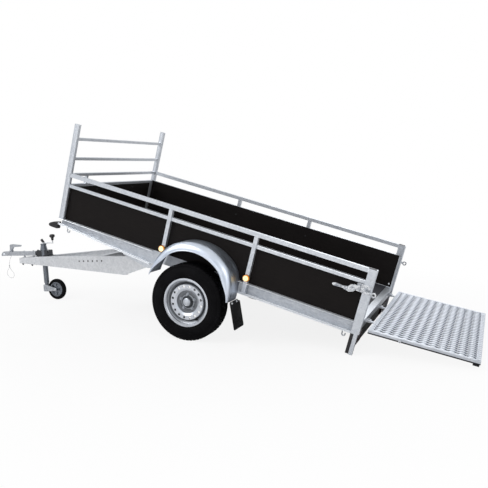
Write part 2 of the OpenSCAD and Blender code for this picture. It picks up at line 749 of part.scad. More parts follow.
// The coupling is a domed head with a pressed body, on two round spacers over the nose
spacer_r = 9;
spacer_places = [1853, 1740];

module coupling_head() color(steel) on_drawbar() difference() {
    union() {
        translate([-ball_x, 0, 0]) rotate_extrude($fn = smooth) polygon([[0, coupling_base],
            [head_r, coupling_base], [head_r, 4], [head_r - 5, 13], [head_r - 13, head_top - 4],
            [head_r - 22, head_top], [0, head_top]]);
        translate([0, 0, coupling_base]) linear_extrude(height = head_top - 1 - coupling_base)
            polygon([[-ball_x, -coupling_half], [-ball_x + 110, -coupling_half + 4],
                [-coupling_tail_x - 50, -coupling_half + 8], [-coupling_tail_x - 50, coupling_half - 8],
                [-ball_x + 110, coupling_half - 4], [-ball_x, coupling_half]]);
        block([-coupling_tail_x - 52, -coupling_half + 4, coupling_base],
            [-coupling_tail_x, coupling_half - 4, head_top + 2]);
        for (x = spacer_places)
            translate([-x, 0, arm_top_nose])
                cylinder(r = spacer_r, h = coupling_base - arm_top_nose + 25, $fn = 32);
        for (e = [-1, 1])
            translate([-handle_x, e * (handle_half + seat_gap + 2), 0]) {
                block([-9, -2, head_top - 5], [9, 2, handle_h]);
                translate([0, 0, handle_h]) rod_y(9, -2, 2);
            }
        translate([-handle_x, 0, handle_h]) rod_y(4, -handle_half - 6, handle_half + 6);
    }
    translate([-ball_x, 0, coupling_base - 1]) cylinder(r = socket_r, h = socket_depth + 1, $fn = smooth);
    // The pressed body is open underneath between the socket and the first spacer
    block([-ball_x + head_r + 6, -coupling_half + 9, coupling_base - 1],
        [-spacer_places[0] - 30, coupling_half - 9, 16]);
}

// The release handle turns on a pin between two ears on the head
handle_x = ball_x - 74;
handle_h = head_top + 11;
handle_half = 14;

module coupling_handle() color(steel) on_drawbar() translate([-handle_x, 0, handle_h]) difference() {
    union() {
        rod_y(8, -handle_half, handle_half);
        slab_y([[-8, 0], [8, 0], [32, 34], [116, 37], [124, 44], [122, 52], [22, 61], [2, 60], [-7, 50]],
            -handle_half + 2, handle_half - 2);
    }
    rod_y(4 + run_gap, -handle_half - 1, handle_half + 1);
}

// The clamp stands on the arms and grips the jockey wheel's tube; its wing bolt points to the rear
clamp_front = 78;
clamp_rear = 52;
clamp_base = arm_top(bend_x) + seat_gap;
clamp_top = 40;
clamp_bolt_z = 25;

module jockey_clamp() color(black) on_drawbar() translate([-jockey_x, 0, 0])
    difference() {
        union() {
            block([-clamp_front, -nose_half, clamp_base], [clamp_rear, nose_half, clamp_base + 12]);
            slab_y([[-clamp_front, clamp_base + 5], [-clamp_front, clamp_top - 6],
                [-clamp_front + 8, clamp_top],
                [clamp_rear - 6, clamp_top], [clamp_rear, clamp_top - 6], [clamp_rear, clamp_base + 5]],
                -nose_half + 5, nose_half - 5);
            translate([clamp_rear - 2, jockey_y, clamp_bolt_z]) rotate([0, 90, 0])
                cylinder(r = 6, h = 26, $fn = 32);
            translate([clamp_rear + 16, jockey_y, clamp_bolt_z]) block([0, -22, -6], [10, 22, 6]);
            translate([clamp_rear + 16, jockey_y, clamp_bolt_z]) block([0, -6, -18], [10, 6, 18]);
        }
        translate([0, jockey_y, clamp_base - 1]) cylinder(r = jockey_tube_r + run_gap, h = 90, $fn = smooth);
    }

module on_jockey() on_drawbar() translate([-jockey_x, jockey_y, 0]) children();

module jockey_tube() color("gray") on_jockey() difference() {
    union() {
        translate([0, 0, tube_bottom])
            cylinder(r = jockey_tube_r, h = tube_top - tube_bottom + 2, $fn = smooth);
        rotate_extrude($fn = smooth)
            polygon([[0, tube_top], [33, tube_top], [33, tube_top + 7], [25, housing_top],
            [28, housing_top + 2], [28, housing_top + 11], [24, housing_top + 13], [0, housing_top + 13]]);
    }
    translate([0, 0, tube_bottom - 1])
        cylinder(r = leg_r + run_gap, h = tube_top - tube_bottom - 10, $fn = smooth);
}

crank_z = housing_top + 13 + seat_gap;
crank_rod = 5;

module jockey_crank() color(steel) on_jockey() translate([0, 0, crank_z]) {
    cylinder(r = 13, h = 12, $fn = 32);
    translate([0, 0, crank_rod + 1]) rotate([0, 90, 0]) cylinder(r = crank_rod, h = crank_r, $fn = 24);
    translate([crank_r, 0, 1]) cylinder(r = crank_rod, h = 30, $fn = 24);
}

// Moulded grip on the crank's end and the slanted cap on its hub
module jockey_knob() color(black) on_jockey() translate([0, 0, crank_z]) {
    translate([crank_r, 0, 31 + seat_gap]) rotate_extrude($fn = 48)
        polygon([[0, 0], [11, 0], [12, 18], [15, 26],
        [25, 34], [26, 44], [22, 54], [12, 58], [0, 58]]);
    translate([0, 0, 12 + seat_gap]) difference() {
        translate([6, 0, -4]) rotate([0, -38, 0]) cylinder(r = 12, h = 40, $fn = smooth);
        block([-60, -40, -40], [60, 40, 0]);
    }
}

module jockey_leg() color("gray") on_jockey()
    translate([0, 0, jockey_axle_z + 45]) cylinder(r = leg_r, h = 240, $fn = smooth);

module jockey_fork() color(steel) on_jockey() translate([0, 0, jockey_axle_z]) {
    plate = 4;
    inner = 25;
    end = jockey_trail + 12;
    translate([0, 0, 30]) cylinder(r = leg_r, h = 14.7, $fn = smooth);
    block([-leg_r, -inner - 1, 36], [14, inner + 1, 44]);
    for (y = [-inner - plate, inner])
        slab_y([[-leg_r - 1, 44], [14, 44], [end - 6, 12], [end, 5], [end, -5], [end - 6, -12], [18, -21],
            [-leg_r + 3, -21], [-leg_r - 1, -15]], y, y + plate);
    translate([jockey_trail, 0, 0]) rod_y(6, -inner - plate - 4, inner + plate + 4);
}

module on_jockey_wheel() on_jockey() translate([jockey_trail, 0, jockey_axle_z]) rotate([90, 0, 0])
    children();

module jockey_tyre() color(black) on_jockey_wheel()
    rotate_extrude($fn = smooth)
        polygon([[70, -17], [90, -19], [97, -14], [jockey_r, -6], [jockey_r, 6], [97, 14],
        [90, 19], [70, 17]]);

// Pressed wheel disc with a hub and five radial recesses in each face
module jockey_rim() color("silver") on_jockey_wheel() difference() {
    union() {
        cylinder(r = 18, h = 42, center = true, $fn = smooth);
        rotate_extrude($fn = smooth)
            polygon([[15, -11], [58, -11], [62, -16], [69.7, -16], [69.7, 16], [62, 16],
            [58, 11], [15, 11]]);
    }
    for (i = [0:4], e = [0, 1])
        mirror([0, 0, e]) rotate([0, 0, i * 72]) translate([0, 0, 4]) linear_extrude(height = 12)
            polygon([[26, -9], [52, -17], [55, 0], [52, 17], [26, 9]]);
    cylinder(r = 6 + run_gap, h = 60, center = true, $fn = smooth);
}

// Breakaway cable: a short drop from the coupling that ends in a hanging loop
cable_r = 1.5;
cable_x = 1992;
cable_y = -30;
cable_route = [[0, 0, 3], [-6, 0, -10], [-15, 0, -25], [-22, 0, -42], [-27, 0, -60], [-31, 0, -80], [-33, 0, -100],
    [-26, 1, -124], [-9, 2, -146], [10, 3, -165], [22, 3, -186], [20, 3, -205], [6, 3, -219], [-16, 3, -225],
    [-40, 3, -219], [-60, 3, -201], [-69, 3, -178], [-61, 3, -155], [-48, 4, -134], [-36, 5, -116]];

function unit(v) = v / norm(v);
function cable_dir(i) = unit(cable_route[min(i + 1, len(cable_route) - 1)] - cable_route[max(i - 1, 0)]);
function cable_ring(i) = [for (k = [0:7]) cable_route[i]
    + cable_r * (cos(45 * k) * [0, 1, 0] + sin(45 * k) * unit(cross(cable_dir(i), [0, 1, 0])))];

module breakaway_cable() color("gray") on_drawbar()
    translate([-cable_x, cable_y, coupling_base]) rotate([0, nose_pitch, 0]) {
        n = len(cable_route);
        polyhedron(points = [for (i = [0:n - 1]) each cable_ring(i)],
            faces = concat([[for (k = [0:7]) k]], [[for (k = [7:-1:0]) 8 * (n - 1) + k]],
                [for (i = [0:n - 2], k = [0:7]) [8 * i + k, 8 * i + 8 + k, 8 * i + 8 + (k + 1) % 8,
                8 * i + (k + 1) % 8]]));
    }

floor_board();
front_board();
side_board(-1);  // left_board
side_board(1);  // right_board
sill(-1);  // left_sill
sill(1);  // right_sill
front_beam();
rear_beam();
floor_bearers();
pivot_brackets();
rails(-1);  // left_rails
rails(1);  // right_rails
mid_posts();
rear_posts();
rack_posts();
rack_bars();
axle_beam();
mudguard(-1);  // left_mudguard
mudguard(1);  // right_mudguard
mud_flaps();
light_board();
tail_lamps();
side_lamps();
marker_lamps();
lashing_hooks();
latch_bases();
tyre(-1);  // left_tyre
rim(-1);  // left_rim
tyre(1);  // right_tyre
rim(1);  // right_rim
ramp_frame();
ramp_deck();
ramp_feet();
hinge_pins();
latch(-1);  // left_latch
latch(1);  // right_latch
latch_link(-1);  // left_latch_link
latch_link(1);  // right_latch_link
arm(-1);  // left_arm
arm(1);  // right_arm
nose_box();
cross_tube();
pivot_pins();
coupling_head();
coupling_handle();
breakaway_cable();
jockey_clamp();
jockey_tube();
jockey_crank();
jockey_knob();
jockey_leg();
jockey_fork();
jockey_tyre();
jockey_rim();
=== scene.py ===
# Looks of the tipping trailer: camera, light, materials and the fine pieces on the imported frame.
import json
from math import atan2, copysign, cos, radians, sin, sqrt, tan, tau

import bmesh
import bpy
from mathutils import Matrix, Vector

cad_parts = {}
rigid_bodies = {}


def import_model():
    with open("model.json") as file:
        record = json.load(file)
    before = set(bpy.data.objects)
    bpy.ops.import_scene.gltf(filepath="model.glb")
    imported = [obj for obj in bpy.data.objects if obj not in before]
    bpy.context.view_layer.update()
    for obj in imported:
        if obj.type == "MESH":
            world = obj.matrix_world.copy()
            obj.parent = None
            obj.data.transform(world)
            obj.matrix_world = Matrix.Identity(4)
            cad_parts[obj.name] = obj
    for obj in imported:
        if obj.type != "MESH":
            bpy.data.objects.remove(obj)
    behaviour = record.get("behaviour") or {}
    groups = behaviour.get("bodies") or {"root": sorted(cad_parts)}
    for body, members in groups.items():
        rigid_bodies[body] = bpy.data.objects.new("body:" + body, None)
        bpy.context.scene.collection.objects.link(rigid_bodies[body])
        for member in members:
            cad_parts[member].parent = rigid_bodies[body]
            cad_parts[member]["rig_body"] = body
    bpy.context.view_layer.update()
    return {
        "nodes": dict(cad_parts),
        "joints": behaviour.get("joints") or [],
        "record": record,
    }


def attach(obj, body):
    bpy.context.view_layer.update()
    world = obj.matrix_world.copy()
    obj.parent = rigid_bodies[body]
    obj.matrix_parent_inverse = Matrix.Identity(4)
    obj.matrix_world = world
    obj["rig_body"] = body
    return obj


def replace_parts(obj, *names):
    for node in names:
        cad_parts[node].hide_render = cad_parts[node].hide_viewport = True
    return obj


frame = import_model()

record = frame["record"]
joints = {joint["name"]: joint for joint in frame["joints"]}
mounts = {mount["name"]: mount for mount in record["mounts"]}
MM = 0.001

# Frames that the pieces are placed in: the tipped bed, the sloping drawbar and the wheels
floor_axis = Vector(mounts["load_floor"]["axis"])
TILT = atan2(floor_axis.x, floor_axis.z)
BED = Matrix.Translation(mounts["load_floor"]["pos_m"]) @ Matrix.Rotation(TILT, 4, "Y")
socket_axis = Vector(mounts["tow_socket"]["axis"])
PITCH = atan2(socket_axis.x, -socket_axis.z)
DRAWBAR = Matrix.Translation(joints["bed_tilt"]["pos_m"]) @ Matrix.Rotation(-PITCH, 4, "Y")
LEFT_WHEEL, RIGHT_WHEEL, JOCKEY_WHEEL = (
    Vector(joints[name + "_wheel_spin"]["pos_m"]) for name in ("left", "right", "jockey"))
# The ramp's frame stands on its hinge axis, in metres of the bed, and is 3.9 degrees flatter than the bed
RAMP = BED @ Matrix.Translation((1.275, 0, -0.021)) @ Matrix.Rotation(radians(-3.9), 4, "Y")
IN_BED, IN_RAMP, IN_DRAWBAR = (base @ Matrix.Scale(MM, 4) for base in (BED, RAMP, DRAWBAR))
# In a wheel's frame Z points outwards from the trailer
WHEEL_AXES = {-1: Matrix(((1, 0, 0), (0, 0, -1), (0, 1, 0))), 1: Matrix(((1, 0, 0), (0, 0, 1), (0, -1, 0)))}
HANDS, SIDES = (-1, 1), ((-1, "left"), (1, "right"))

# Sizes of the solids that the pieces sit on, in millimetres as in the source
BED_FRONT, BED_REAR, SIDE, POST_OUTER = 1321, 1245, 653, 683
BOARD_T, BOARD_H, FRONT_BOARD_H, RAIL_H, RACK_H = 15, 293, 282, 371, 777
TUBE, SLIM_TUBE, REAR_POST_W = 30, 22, 50
FRONT_POST_X, MID_POST_X, AXLE_DROP, GUARD_R, GUARD_LIFT = -339, 371, 252, 387, 66
BAR_HEIGHTS, BEARERS, HINGE_PLACES, HINGE_X = (371, 502, 662), (-1000, -640, 640, 1000), (-470, 0, 470), 30
SILL_OUTER, SILL_FRONT_DEPTH, SILL_MID_DEPTH, SILL_REAR_DEPTH = 689, 47, 109, 84
TAIL_LAMP_W, TAIL_LAMP_H, TAIL_LAMP_DROP, SIDE_LAMP_R = 220, 90, 110, 24.5
RAMP_EDGE, RAMP_RIM, RAMP_L, RAMP_W, PLANK_PITCH, RAMP_LUG_X = 29, 30, 760, 1376, 61, 248
WHEEL_R, RIM_R, FLANGE_R, TYRE_HALF, JOCKEY_R = 289, 165, 182, 77.5, 100
ARM_HALF, NOSE_HALF, BEND_X, HOLE_COUNT, HOLE_PITCH = 624, 45, 1627, 6, 65
# Faces that the pieces sit on: the boards' inner ones and the rear one of the light board
BOARD_INNER = SIDE - BOARD_T
FRONT_BOARD_FACE = -BED_FRONT + TUBE / 2 + 5 + BOARD_T / 2
LIGHT_FACE = BED_REAR - REAR_POST_W + 24
# The rack posts are wider here than in the solids
RACK_POST_X = (-BED_FRONT - 6, -BED_FRONT + TUBE + 8)


def new_object(name, data):
    made = bpy.data.objects.new(name, data)
    bpy.context.scene.collection.objects.link(made)
    return made


def make_camera():
    """The photograph's viewpoint, with its focal length in pixels of the 488 pixel frame."""
    yaw, pitch, roll = radians(22.34), radians(7.4), radians(0.1)
    focal_px, frame_px = 615.56, 488
    cam = new_object("camera", bpy.data.cameras.new("camera"))
    ahead = Vector((-sin(yaw) * cos(pitch), cos(yaw) * cos(pitch), -sin(pitch)))
    cam.rotation_mode = "QUATERNION"
    aim = ahead.to_track_quat("-Z", "Y").to_matrix()
    cam.rotation_quaternion = (aim @ Matrix.Rotation(roll, 3, "Z")).to_quaternion()
    cam.location = (2.30722, -4.74336, 1.30079)
    cam.data.sensor_width = 36
    cam.data.lens = cam.data.sensor_width * focal_px / frame_px
    bpy.context.scene.camera = cam


# Node helpers: most make one node and return the socket that the next one reads

def node(nt, kind, inputs=(), **settings):
    made = nt.nodes.new(kind)
    for name, value in settings.items():
        setattr(made, name, value)
    for name, value in dict(inputs).items():
        if isinstance(value, bpy.types.NodeSocket):
            nt.links.new(value, made.inputs[name])
        elif value is not None:
            made.inputs[name].default_value = value
    return made


def coords(nt, matrix=None, scale=(1, 1, 1)):
    """Object coordinates in metres, or those in a frame such as BED, stretched by scale."""
    out = node(nt, "ShaderNodeTexCoord").outputs["Object"]
    if matrix is not None:
        back = matrix.inverted()
        out = node(nt, "ShaderNodeMapping", {"Vector": out, "Location": back.translation,
                                             "Rotation": back.to_euler()}).outputs[0]
    if scale != (1, 1, 1):
        out = vector_node(nt, "MULTIPLY", out, scale)
    return out


def noise(nt, vector, scale, detail, roughness):
    return node(nt, "ShaderNodeTexNoise", {"Vector": vector, "Scale": scale, "Detail": detail,
                                           "Roughness": roughness}).outputs["Fac"]


def cells(nt, vector, scale, feature="F1"):
    return node(nt, "ShaderNodeTexVoronoi", {"Vector": vector, "Scale": scale}, feature=feature)


def ramp(nt, fac, stops):
    """Colour ramp from a list of (place, colour); a colour may be one grey value."""
    made = node(nt, "ShaderNodeValToRGB", {"Fac": fac})
    points = made.color_ramp.elements
    while len(points) < len(stops):
        points.new(0.5)
    for point, (place, colour) in zip(points, stops):
        point.position = place
        point.color = (*((colour,) * 3 if isinstance(colour, (int, float)) else colour), 1)
    return made.outputs["Color"]


def span(nt, fac, low, high, start, end):
    """fac from start to end becomes low to high."""
    return node(nt, "ShaderNodeMapRange", {"Value": fac, "From Min": start, "From Max": end,
                                           "To Min": low, "To Max": high}).outputs[0]


def blend(nt, fac, a, b):
    """Colour a where fac is 0, colour b where it is 1."""
    made = node(nt, "ShaderNodeMix", {"Factor": fac}, data_type="RGBA", blend_type="MIX")
    for socket, value in ((made.inputs[6], a), (made.inputs[7], b)):
        if isinstance(value, bpy.types.NodeSocket):
            nt.links.new(value, socket)
        else:
            socket.default_value = (*value, 1)
    return made.outputs[2]


def math_node(nt, operation, a, b=None):
    return node(nt, "ShaderNodeMath", {0: a, 1: b}, operation=operation).outputs[0]


def vector_node(nt, operation, a, b=None, output="Vector"):
    return node(nt, "ShaderNodeVectorMath", {0: a, 1: b}, operation=operation).outputs[output]


def part_of(nt, vector, axis):
    return node(nt, "ShaderNodeSeparateXYZ", {0: vector}).outputs[axis]


def weighted(nt, *parts):
    """Sum of (socket, weight) pairs."""
    (fac, weight), rest = parts[0], parts[1:]
    share = math_node(nt, "MULTIPLY", fac, weight)
    return math_node(nt, "ADD", share, weighted(nt, *rest)) if rest else share


def bump(nt, height, distance, strength):
    return node(nt, "ShaderNodeBump", {"Height": height, "Distance": distance, "Strength": strength}).outputs[0]


def material(name, **sockets):
    """A material with one Principled shader; sockets are its uniform values, with _ for a space."""
    mat = bpy.data.materials.new(name)
    mat.use_nodes = True
    nt = mat.node_tree
    shader = nt.nodes["Principled BSDF"]
    for key, value in sockets.items():
        shader.inputs[key.replace("_", " ")].default_value = value
    return mat, nt, shader


def plug(nt, shader, **sockets):
    """Links node outputs to the shader, named as in material."""
    for key, value in sockets.items():
        nt.links.new(value, shader.inputs[key.replace("_", " ")])


# Materials

def galvanised(name, light, dark, rough, spangle=0.014, matrix=None, metallic=0.85, contrast=0.7, relief=0.25):
    """Hot-dip zinc: soft crystals, cloudy patches a few centimetres wide and faint streaks along the piece."""
    mat, nt, shader = material(name, Metallic=metallic)
    at = coords(nt, matrix)
    # The crystals' edges wander by a few millimetres
    wander = node(nt, "ShaderNodeTexNoise", {"Vector": at, "Scale": 60}).outputs["Color"]
    warped = vector_node(nt, "ADD", at, vector_node(nt, "MULTIPLY", wander, (0.006, 0.006, 0.006)))
    crystal = cells(nt, warped, 1 / spangle).outputs["Color"]
    grain = node(nt, "ShaderNodeSeparateColor", {0: crystal}).outputs[0]
    cloud = noise(nt, at, 30, 4, 0.6)
    patch = noise(nt, at, 7, 3, 0.5)
    streak = noise(nt, coords(nt, matrix, (3, 60, 60)), 2.0, 4, 0.6)
    tone = weighted(nt, (grain, 0.16), (cloud, 0.42), (streak, 0.22), (patch, 0.2))
    middle, spread = 0.48, 0.17 / contrast
    plug(nt, shader, Base_Color=ramp(nt, tone, [(middle - spread, dark), (middle + spread, light)]),
         Roughness=span(nt, tone, rough + 0.1, rough - 0.06, 0.3, 0.66),
         Normal=bump(nt, weighted(nt, (cloud, 1.0), (grain, 0.12)), 0.0004, relief))
    return mat


def ramp_zinc(name, light, dark, valley=0.0):
    """Rolled planks: bright on the crowns, with painted shade darkening them towards the joints between them."""
    mat, nt, shader = material(name, Metallic=0.75)
    at = coords(nt, RAMP)
    past_rim = math_node(nt, "SUBTRACT", part_of(nt, at, "X"), (RAMP_EDGE + RAMP_RIM) * MM)
    share = math_node(nt, "FRACT", math_node(nt, "DIVIDE", past_rim, PLANK_PITCH * MM))
    # Painted shade: the band is darkest at the joints between the planks, and valley sets how dark it gets there
    band = ramp(nt, share, [(0.0, valley), (0.2, valley * 0.7 + 0.2), (0.36, 1.0), (0.6, 0.92), (0.8, 0.1),
                            (1.0, valley)])
    joint_shade_and_tone = weighted(nt, (band, 0.75), (noise(nt, at, 26, 5, 0.65), 0.4))
    plug(nt, shader, Base_Color=ramp(nt, joint_shade_and_tone, [(0.15, dark), (0.95, light)]),
         Roughness=span(nt, joint_shade_and_tone, 0.5, 0.34, 0.2, 1.0),
         Normal=bump(nt, noise(nt, at, 160, 3, 0.55), 0.0002, 0.5))
    return mat


def edge_zinc(name, light, dark, shade_tone):
    """The ramp's frame: zinc above, with a band of painted shade along its lower edge."""
    mat, nt, shader = material(name, Metallic=0.8)
    at = coords(nt, RAMP)
    # Painted shade: below these heights the frame's colour turns dark, standing in for the shade along its lower
    # edge
    shaded_z, lit_z = -0.0185, -0.0155
    cloud = noise(nt, at, 24, 4, 0.6)
    zinc = ramp(nt, cloud, [(0.3, dark), (0.7, light)])
    low = weighted(nt, (span(nt, part_of(nt, at, "Z"), 1.0, 0.0, shaded_z, lit_z), 1.0), (cloud, 0.1))
    plug(nt, shader, Base_Color=blend(nt, low, zinc, shade_tone), Roughness=span(nt, cloud, 0.5, 0.34, 0.3, 0.7),
         Normal=bump(nt, cloud, 0.0003, 0.3))
    return mat


def guard_zinc(name, light, dark, shade_tone):
    """Bright rolled sheet, darkened in the strip beside the board by painted shade and a painted reflection of the
    dark board.
    """
    mat, nt, shader = material(name, Metallic=0.97)
    at = coords(nt)
    across = math_node(nt, "ABSOLUTE", part_of(nt, at, "Y"))
    cloud = noise(nt, at, 11, 3, 0.5)
    zinc = ramp(nt, cloud, [(0.3, dark), (0.7, light)])
    # Painted shade and reflection: the colour turns dark towards the board, standing in for the board's shadow and
    # its dark reflection in the sheet
    board_y, lit_y = 0.655, 0.775
    plug(nt, shader, Base_Color=blend(nt, span(nt, across, 0.85, 0.0, board_y, lit_y), zinc, shade_tone),
         Roughness=span(nt, across, 0.6, 0.36, 0.66, 0.76), Normal=bump(nt, cloud, 0.0004, 0.08))
    return mat


def rim_silver(name, bright, shade_and_dust):
    """Silver wheel lacquer, darkened in the valley round the hub and in the groove inside the lip by painted shade
    and brake dust.
    """
    mat, nt, shader = material(name, Metallic=0.85, Coat_Weight=0.25, Coat_Roughness=0.2)
    # Both wheels stand at the same place along X and Z, so the left one's centre serves both
    side_on = vector_node(nt, "MULTIPLY", vector_node(nt, "SUBTRACT", coords(nt), LEFT_WHEEL), (1, 0, 1))
    away = vector_node(nt, "LENGTH", side_on, output="Value")
    dust = noise(nt, coords(nt), 34, 4, 0.6)
    # Bright raised rings, and recessed rings dark with painted shade and brake dust, as shares of a radius just past
    # the rim's flange
    reach = 0.19
    dust_and_shade_rings = ramp(nt, span(nt, away, 0.0, 1.0, 0.0, reach), [
        (0.0, 0.95), (0.15, 0.7), (0.175, 0.0), (0.235, 0.0), (0.26, 0.5), (0.3, 0.08), (0.42, 0.25), (0.47, 1.0),
        (0.69, 0.95), (0.74, 0.06), (0.80, 0.1), (0.86, 0.7), (0.93, 1.0)])
    tone = weighted(nt, (dust_and_shade_rings, 0.85), (dust, 0.2))
    plug(nt, shader, Base_Color=ramp(nt, tone, [(0.1, shade_and_dust), (0.95, bright)]),
         Roughness=span(nt, tone, 0.44, 0.29, 0.1, 1.0),
         Normal=bump(nt, noise(nt, coords(nt), 260, 3, 0.5), 0.00012, 0.4))
    return mat


def plywood():
    """Film-faced plywood: near black, satin, with faint grain, dust and pale scuffs."""
    mat, nt, shader = material("plywood", IOR=1.45, Specular_IOR_Level=0.14)
    at = coords(nt, BED)
    grain = noise(nt, coords(nt, BED, (4, 60, 60)), 2.5, 6, 0.6)
    dust = noise(nt, at, 3.5, 4, 0.55)
    fine = noise(nt, at, 420, 2, 0.5)
    base = ramp(nt, grain, [(0.3, (0.0050, 0.0038, 0.0036)), (0.72, (0.0085, 0.0066, 0.0062))])
    plug(nt, shader, Base_Color=blend(nt, span(nt, dust, 0.0, 0.25, 0.5, 0.8), base, (0.016, 0.0135, 0.013)),
         Roughness=span(nt, dust, 0.48, 0.62, 0.3, 0.7),
         Normal=bump(nt, weighted(nt, (grain, 1.0), (fine, 0.4)), 0.0002, 0.5))
    return mat


def floor_film():
    """Anti-slip film on the floor: a pressed mesh over dark grey, scuffed and dusty."""
    mat, nt, shader = material("floor_film", IOR=1.45, Specular_IOR_Level=0.3)
    at = coords(nt, BED)
    mesh = cells(nt, at, 170, "DISTANCE_TO_EDGE").outputs["Distance"]
    dust = noise(nt, at, 5, 5, 0.6)
    plug(nt, shader, Base_Color=ramp(nt, dust, [(0.3, (0.026, 0.027, 0.034)), (0.75, (0.05, 0.05, 0.058))]),
         Roughness=span(nt, dust, 0.5, 0.7, 0.3, 0.7), Normal=bump(nt, mesh, 0.0006, 0.6))
    return mat


def rubber(name, colour, rough, specular=0.2):
    """Rubber with a fine grain, paler where it has wear or dust."""
    mat, nt, shader = material(name, IOR=1.5, Specular_IOR_Level=specular)
    at = coords(nt)
    wear = noise(nt, at, 9, 4, 0.6)
    pale = tuple(c * 1.8 + 0.003 for c in colour)
    plug(nt, shader, Base_Color=ramp(nt, wear, [(0.35, colour), (0.75, pale)]),
         Roughness=span(nt, wear, rough - 0.08, rough + 0.1, 0.3, 0.7),
         Normal=bump(nt, noise(nt, at, 900, 2, 0.5), 0.00015, 0.5))
    return mat


def painted(name, colour, rough, flake=0.0, coat=0.0):
    """Paint or moulded plastic with a slight orange peel and uneven gloss."""
    mat, nt, shader = material(name, Metallic=0.0, Coat_Weight=coat, Coat_Roughness=0.12)
    at = coords(nt)
    patch = noise(nt, at, 12, 4, 0.55)
    low = tuple(c * (0.86 - flake) for c in colour)
    plug(nt, shader, Base_Color=ramp(nt, patch, [(0.3, low), (0.7, colour)]),
         Roughness=span(nt, patch, rough + 0.06, rough - 0.04, 0.3, 0.7),
         Normal=bump(nt, noise(nt, at, 260, 3, 0.5), 0.00012, 0.4))
    return mat


def lens(name, deep, bright, glow=0.0):
    """Moulded lens: ribs inside a clear glossy skin over a bright reflector."""
    mat, nt, shader = material(name, Roughness=0.14, IOR=1.49, Coat_Weight=0.5, Coat_Roughness=0.05,
                               Emission_Strength=glow)
    at = coords(nt)
    ribs = cells(nt, at, 260).outputs["Distance"]
    tone = ramp(nt, ribs, [(0.1, bright), (0.6, deep)])
    plug(nt, shader, Base_Color=tone, Normal=bump(nt, ribs, 0.0006, 0.5))
    if glow:
        plug(nt, shader, Emission_Color=tone)
    return mat


def make_materials():
    """Materials by the name of their slot or finish."""
    steel_light, steel_dark = (0.76, 0.785, 0.82), (0.52, 0.55, 0.595)
    return {
        "galvanised": galvanised("galvanised", steel_light, steel_dark, 0.42, matrix=BED, relief=0.1),
        "drawbar_zinc": galvanised("drawbar_zinc", (0.84, 0.85, 0.87), (0.60, 0.62, 0.64), 0.44, 0.016, DRAWBAR,
                                   relief=0.12),
        "bolt_zinc": galvanised("bolt_zinc", (0.80, 0.81, 0.83), (0.56, 0.58, 0.61), 0.28, 0.004),
        "wheel_bolt": galvanised("wheel_bolt_zinc", (0.48, 0.50, 0.54), (0.26, 0.28, 0.31), 0.32, 0.004),
        "mudguard": guard_zinc("mudguard_zinc", (0.74, 0.79, 0.87), (0.62, 0.68, 0.77), (0.10, 0.11, 0.13)),
        "ramp_plank": ramp_zinc("ramp_zinc", (0.44, 0.48, 0.55), (0.02, 0.025, 0.035)),
        "ramp_tooth": ramp_zinc("ramp_tooth_zinc", (0.76, 0.79, 0.84), (0.52, 0.56, 0.64), 0.5),
        "ramp_edge": edge_zinc("ramp_edge_zinc", (0.70, 0.73, 0.78), (0.52, 0.55, 0.60), (0.02, 0.021, 0.024)),
        "latch_steel": galvanised("latch_steel", (0.86, 0.88, 0.90), (0.24, 0.26, 0.30), 0.3, 0.008, contrast=1.5),
        "jockey_steel": galvanised("jockey_steel", (0.24, 0.26, 0.29), (0.12, 0.13, 0.15), 0.36, 0.010),
        "cast_steel": galvanised("cast_steel", (0.56, 0.58, 0.61), (0.32, 0.34, 0.37), 0.4, 0.008),
        "plywood": plywood(),
        "floor_film": floor_film(),
        "tyre": rubber("tyre_rubber", (0.0018, 0.0017, 0.0022), 0.6, 0.06),
        # Painted highlight: the folds' zinc is paler than the sheet beside them, so that they read as bright lines
        "fold_highlight_zinc": galvanised("fold_highlight_zinc", (0.92, 0.94, 0.97), (0.80, 0.83, 0.86), 0.40, 0.02, BED, relief=0.0),
        "rubber": rubber("black_rubber", (0.006, 0.006, 0.0065), 0.5),
        "rim": rim_silver("rim_silver", (0.68, 0.71, 0.76), (0.05, 0.055, 0.062)),
        "black_plastic": painted("black_plastic", (0.010, 0.009, 0.010), 0.4),
        "sill_zinc": galvanised("sill_zinc", steel_light, steel_dark, 0.52, matrix=BED, metallic=0.6, contrast=0.6,
                                relief=0.0),
        "bolt_black": painted("bolt_black", (0.006, 0.006, 0.007), 0.7),
        "black_metal": painted("black_paint", (0.020, 0.023, 0.029), 0.35, 0.1, 0.2),
        # Painted shade: the red lenses are near black, partly standing in for the shade that the ramp casts on them
        "red_lens": lens("red_lens", (0.014, 0.0012, 0.0016), (0.05, 0.003, 0.004)),
        "amber_lens": lens("amber_lens", (0.85, 0.30, 0.015), (1.0, 0.48, 0.06), 0.22),
        "amber_centre": lens("amber_centre", (1.0, 0.84, 0.42), (1.0, 0.97, 0.80), 0.45),
        "cable": galvanised("cable_steel", (0.6, 0.6, 0.62), (0.4, 0.4, 0.42), 0.4, 0.003),
    }


MATS = make_materials()


def dress_nodes():
    """Each CAD node takes its slot's material, or one that suits the piece better."""
    slots = {sub["node"]: sub["material_slot"] for sub in record["subparts"]}
    finishes = {
        "floor_film": ["floor_board"],
        "sill_zinc": ["left_sill", "right_sill"],
        "ramp_edge": ["ramp_frame"],
        "cast_steel": ["lashing_hooks", "coupling_head", "coupling_handle", "jockey_fork"],
        "jockey_steel": ["jockey_tube", "jockey_leg", "jockey_rim"],
        "latch_steel": ["left_latch", "right_latch", "latch_bases", "left_latch_link", "right_latch_link"],
    }
    own = {name: finish for finish, names in finishes.items() for name in names}
    for name, obj in frame["nodes"].items():
        slot = own.get(name, slots[name])
        if slot == "galvanised" and obj["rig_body"] not in ("bed", "ramp"):
            slot = "drawbar_zinc"
        obj.data.materials.clear()
        obj.data.materials.append(MATS[slot])


